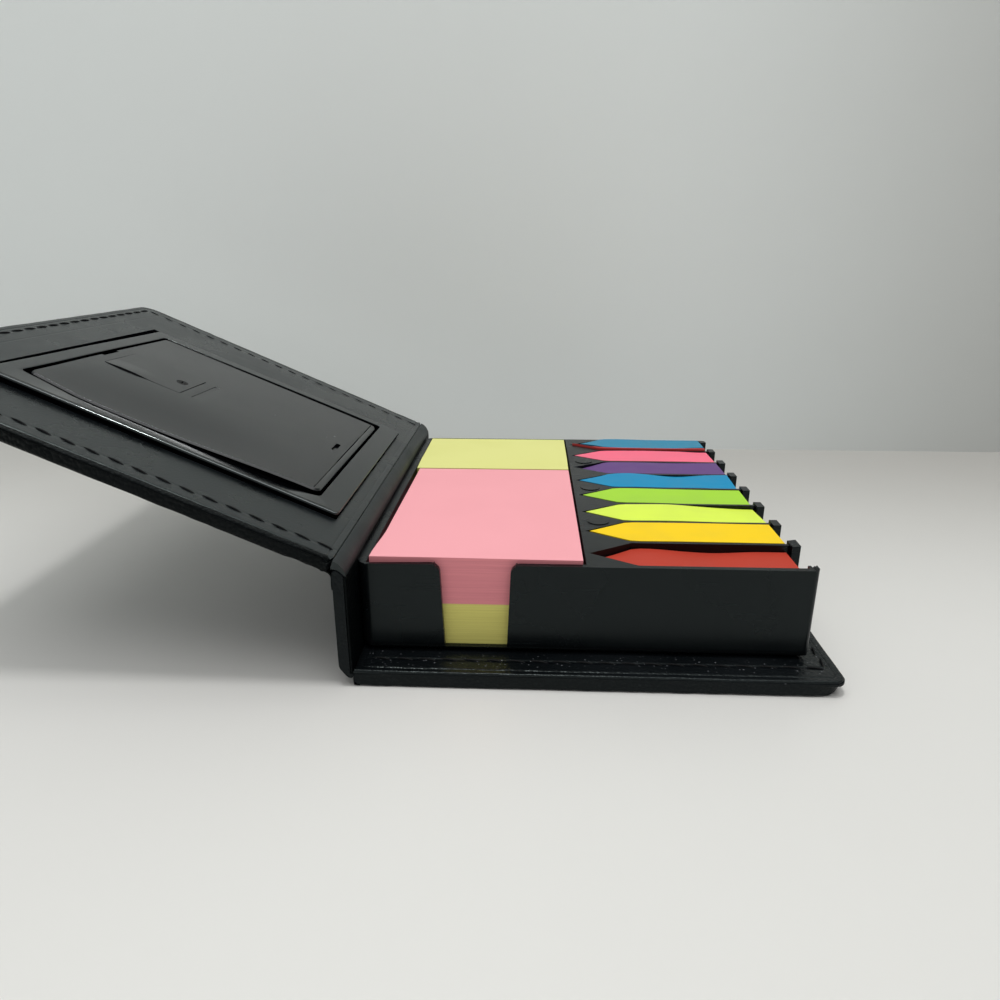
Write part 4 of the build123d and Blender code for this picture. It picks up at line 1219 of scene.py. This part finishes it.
button = {
    "radius": 2.9, "proud": 0.6, "flange": 3.7, "flangeThick": 0.6, "stem": 1.2, "stemEnd": -3.45,
    "row": 25.656, "pitch": 13.0, "round": 0.3, "dishRim": 0.5, "dishSlope": 0.6, "dishDepth": 0.12,
}
capLow, capHigh = dial["outside"] - button["proud"], dial["inside"]
flange, flangeThick = button["flange"], button["flangeThick"]
stemRise = button["stemEnd"] - capHigh - flangeThick
for index in range(4):
    node = "set_button_" + str(index + 1)
    place = (moduleX + button["pitch"] * (index - 1.5), button["row"])
    cap = addRound("setButton" + str(index + 1), place, button["radius"], capLow, capHigh, 40)
    pick(cap, faces=facingUp)  # widened into the flange that keeps it in, then drawn to its stem
    centre = Vector((*place, capHigh)) * mm
    for share, rise in ((flange / button["radius"], flangeThick), (button["stem"] / flange, stemRise)):
        extrudeBy(0, 0, 0)
        bpy.ops.transform.resize(value=(share, share, 1), center_override=centre)
        extrudeBy(0, 0, rise)
    leaveEdit()
    roundPicked(cap, atFoot(capLow), button["round"], 3)
    pick(cap, faces=lambda middle, normal: normal.z < -0.95 and middle.z < capLow + slack)
    insetBy(button["dishRim"])  # a shallow dish for the fingertip
    insetBy(button["dishSlope"], -button["dishDepth"])
    leaveEdit()
    mergeClose(cap, 0.001)
    finishOnLid(cap, 35, [buttonRubber], None, node, "button_rubber", node)
print("clock face ready")

# pieces that stay as they are and only get their finish
keptFinishes = {
    "base_board": greyboard, "spine_board": greyboard, "lid_board": greyboard, "lcd_panel": lcdGlass,
    "lcd_connectors": connectorRubber, "circuit_board": laminate, "board_screws": steel,
    "button_switches": steel, "coin_cell": cellMetal,
    "lower_contact": contactMetal, "side_contact": contactMetal,
}
for node, material in keptFinishes.items():
    nodes[node].data.materials.clear()
    nodes[node].data.materials.append(material)

# table, wall, light and camera
stage = {
    "table": ((226, 225, 221), (186, 184, 179)), "tableShadeFade": (-0.06, 0.15), "tableRough": 0.4,
    "wall": ((240, 245, 243), (188, 189, 185)), "wallShadeFade": (0.02, 0.3), "wallRough": 0.85,
    "tableDrop": 0.0001, "wallPlace": 0.155, "wallMiddle": 2.9, "size": 6,
    "mottle": 25.0, "mottleShare": 0.06, "room": (250, 251, 252), "roomLevel": 0.4,
}
lampLooks = {
    "ceilingPanel": {"place": (0.05, -0.25, 1.0), "tilt": (-14, 0, 0), "size": (1.3, 1.0), "power": 5.4},
    "ceilingLamp": {"place": (-0.09, -0.1, 1.2), "tilt": (-5, -7, 0), "size": (0.13, 0.13), "power": 3.6},
}
cameraLook = {
    "place": (-0.01639, -0.21465, 0.09719), "turn": (71.06, 0, 2.46),
    "lens": 26.09, "sensor": 36, "clip": 0.01,
}


def stagePlane(name, location, rotation, material):
    bpy.ops.mesh.primitive_plane_add(size=stage["size"], location=location, rotation=rotation)
    plane = newPiece(name)
    plane.data.materials.append(material)


def stageMaterial(name, tones, axis, span, rough):  # one tone fading into another across the room: painted light and shade, the table darker toward the wall and the wall darker toward the right
    material, tree, shader, place = startMaterial(name, Roughness=rough)
    spot = put(tree, "ShaderNodeSeparateXYZ", {0: place}).outputs[axis]
    mottle = calc(tree, "SUBTRACT", noiseAt(tree, place, stage["mottle"], 3.0), 0.5)
    share = calc(tree, "MULTIPLY_ADD", mottle, stage["mottleShare"], fade(tree, spot, *span))
    tree.links.new(mixTones(tree, share, *[tone(*colour) for colour in tones]), shader.inputs["Base Color"])
    return material


tableMaterial = stageMaterial("tableTop", stage["table"], 1, stage["tableShadeFade"], stage["tableRough"])
stagePlane("table", (0, 0, -stage["tableDrop"]), (0, 0, 0), tableMaterial)
wallMaterial = stageMaterial("wallPaint", stage["wall"], 0, stage["wallShadeFade"], stage["wallRough"])
wallTree = wallMaterial.node_tree  # clear when it is seen from behind
behind = put(wallTree, "ShaderNodeNewGeometry").outputs["Backfacing"]
clear = put(wallTree, "ShaderNodeBsdfTransparent").outputs[0]
paint = wallTree.nodes["Principled BSDF"].outputs[0]
oneSided = put(wallTree, "ShaderNodeMixShader", {0: behind, 1: paint, 2: clear})
wallTree.links.new(oneSided.outputs[0], wallTree.nodes["Material Output"].inputs["Surface"])
stagePlane("wall", (0, stage["wallPlace"], stage["wallMiddle"]), (math.pi / 2, 0, 0), wallMaterial)

world = bpy.data.worlds.new("softRoom")
bpy.context.scene.world = world
world.use_nodes = True
background = world.node_tree.nodes["Background"]
background.inputs["Color"].default_value = tone(*stage["room"])
background.inputs["Strength"].default_value = stage["roomLevel"]

for name, look in lampLooks.items():
    bpy.ops.object.light_add(type="AREA", location=look["place"])
    lamp = bpy.context.object
    lamp.name = name
    lamp.data.shape = "RECTANGLE"
    lamp.data.size, lamp.data.size_y = look["size"]
    lamp.data.energy = look["power"]
    lamp.rotation_euler = [math.radians(turn) for turn in look["tilt"]]

cameraData = bpy.data.cameras.new("photoCamera")
camera = bpy.data.objects.new("photoCamera", cameraData)
bpy.context.collection.objects.link(camera)
camera.location = cameraLook["place"]
camera.rotation_euler = [math.radians(turn) for turn in cameraLook["turn"]]
cameraData.lens = cameraLook["lens"]
cameraData.sensor_width = cameraLook["sensor"]
cameraData.clip_start = cameraLook["clip"]
bpy.context.scene.camera = camera
bpy.context.scene.view_settings.view_transform = "Standard"
print("stage ready")
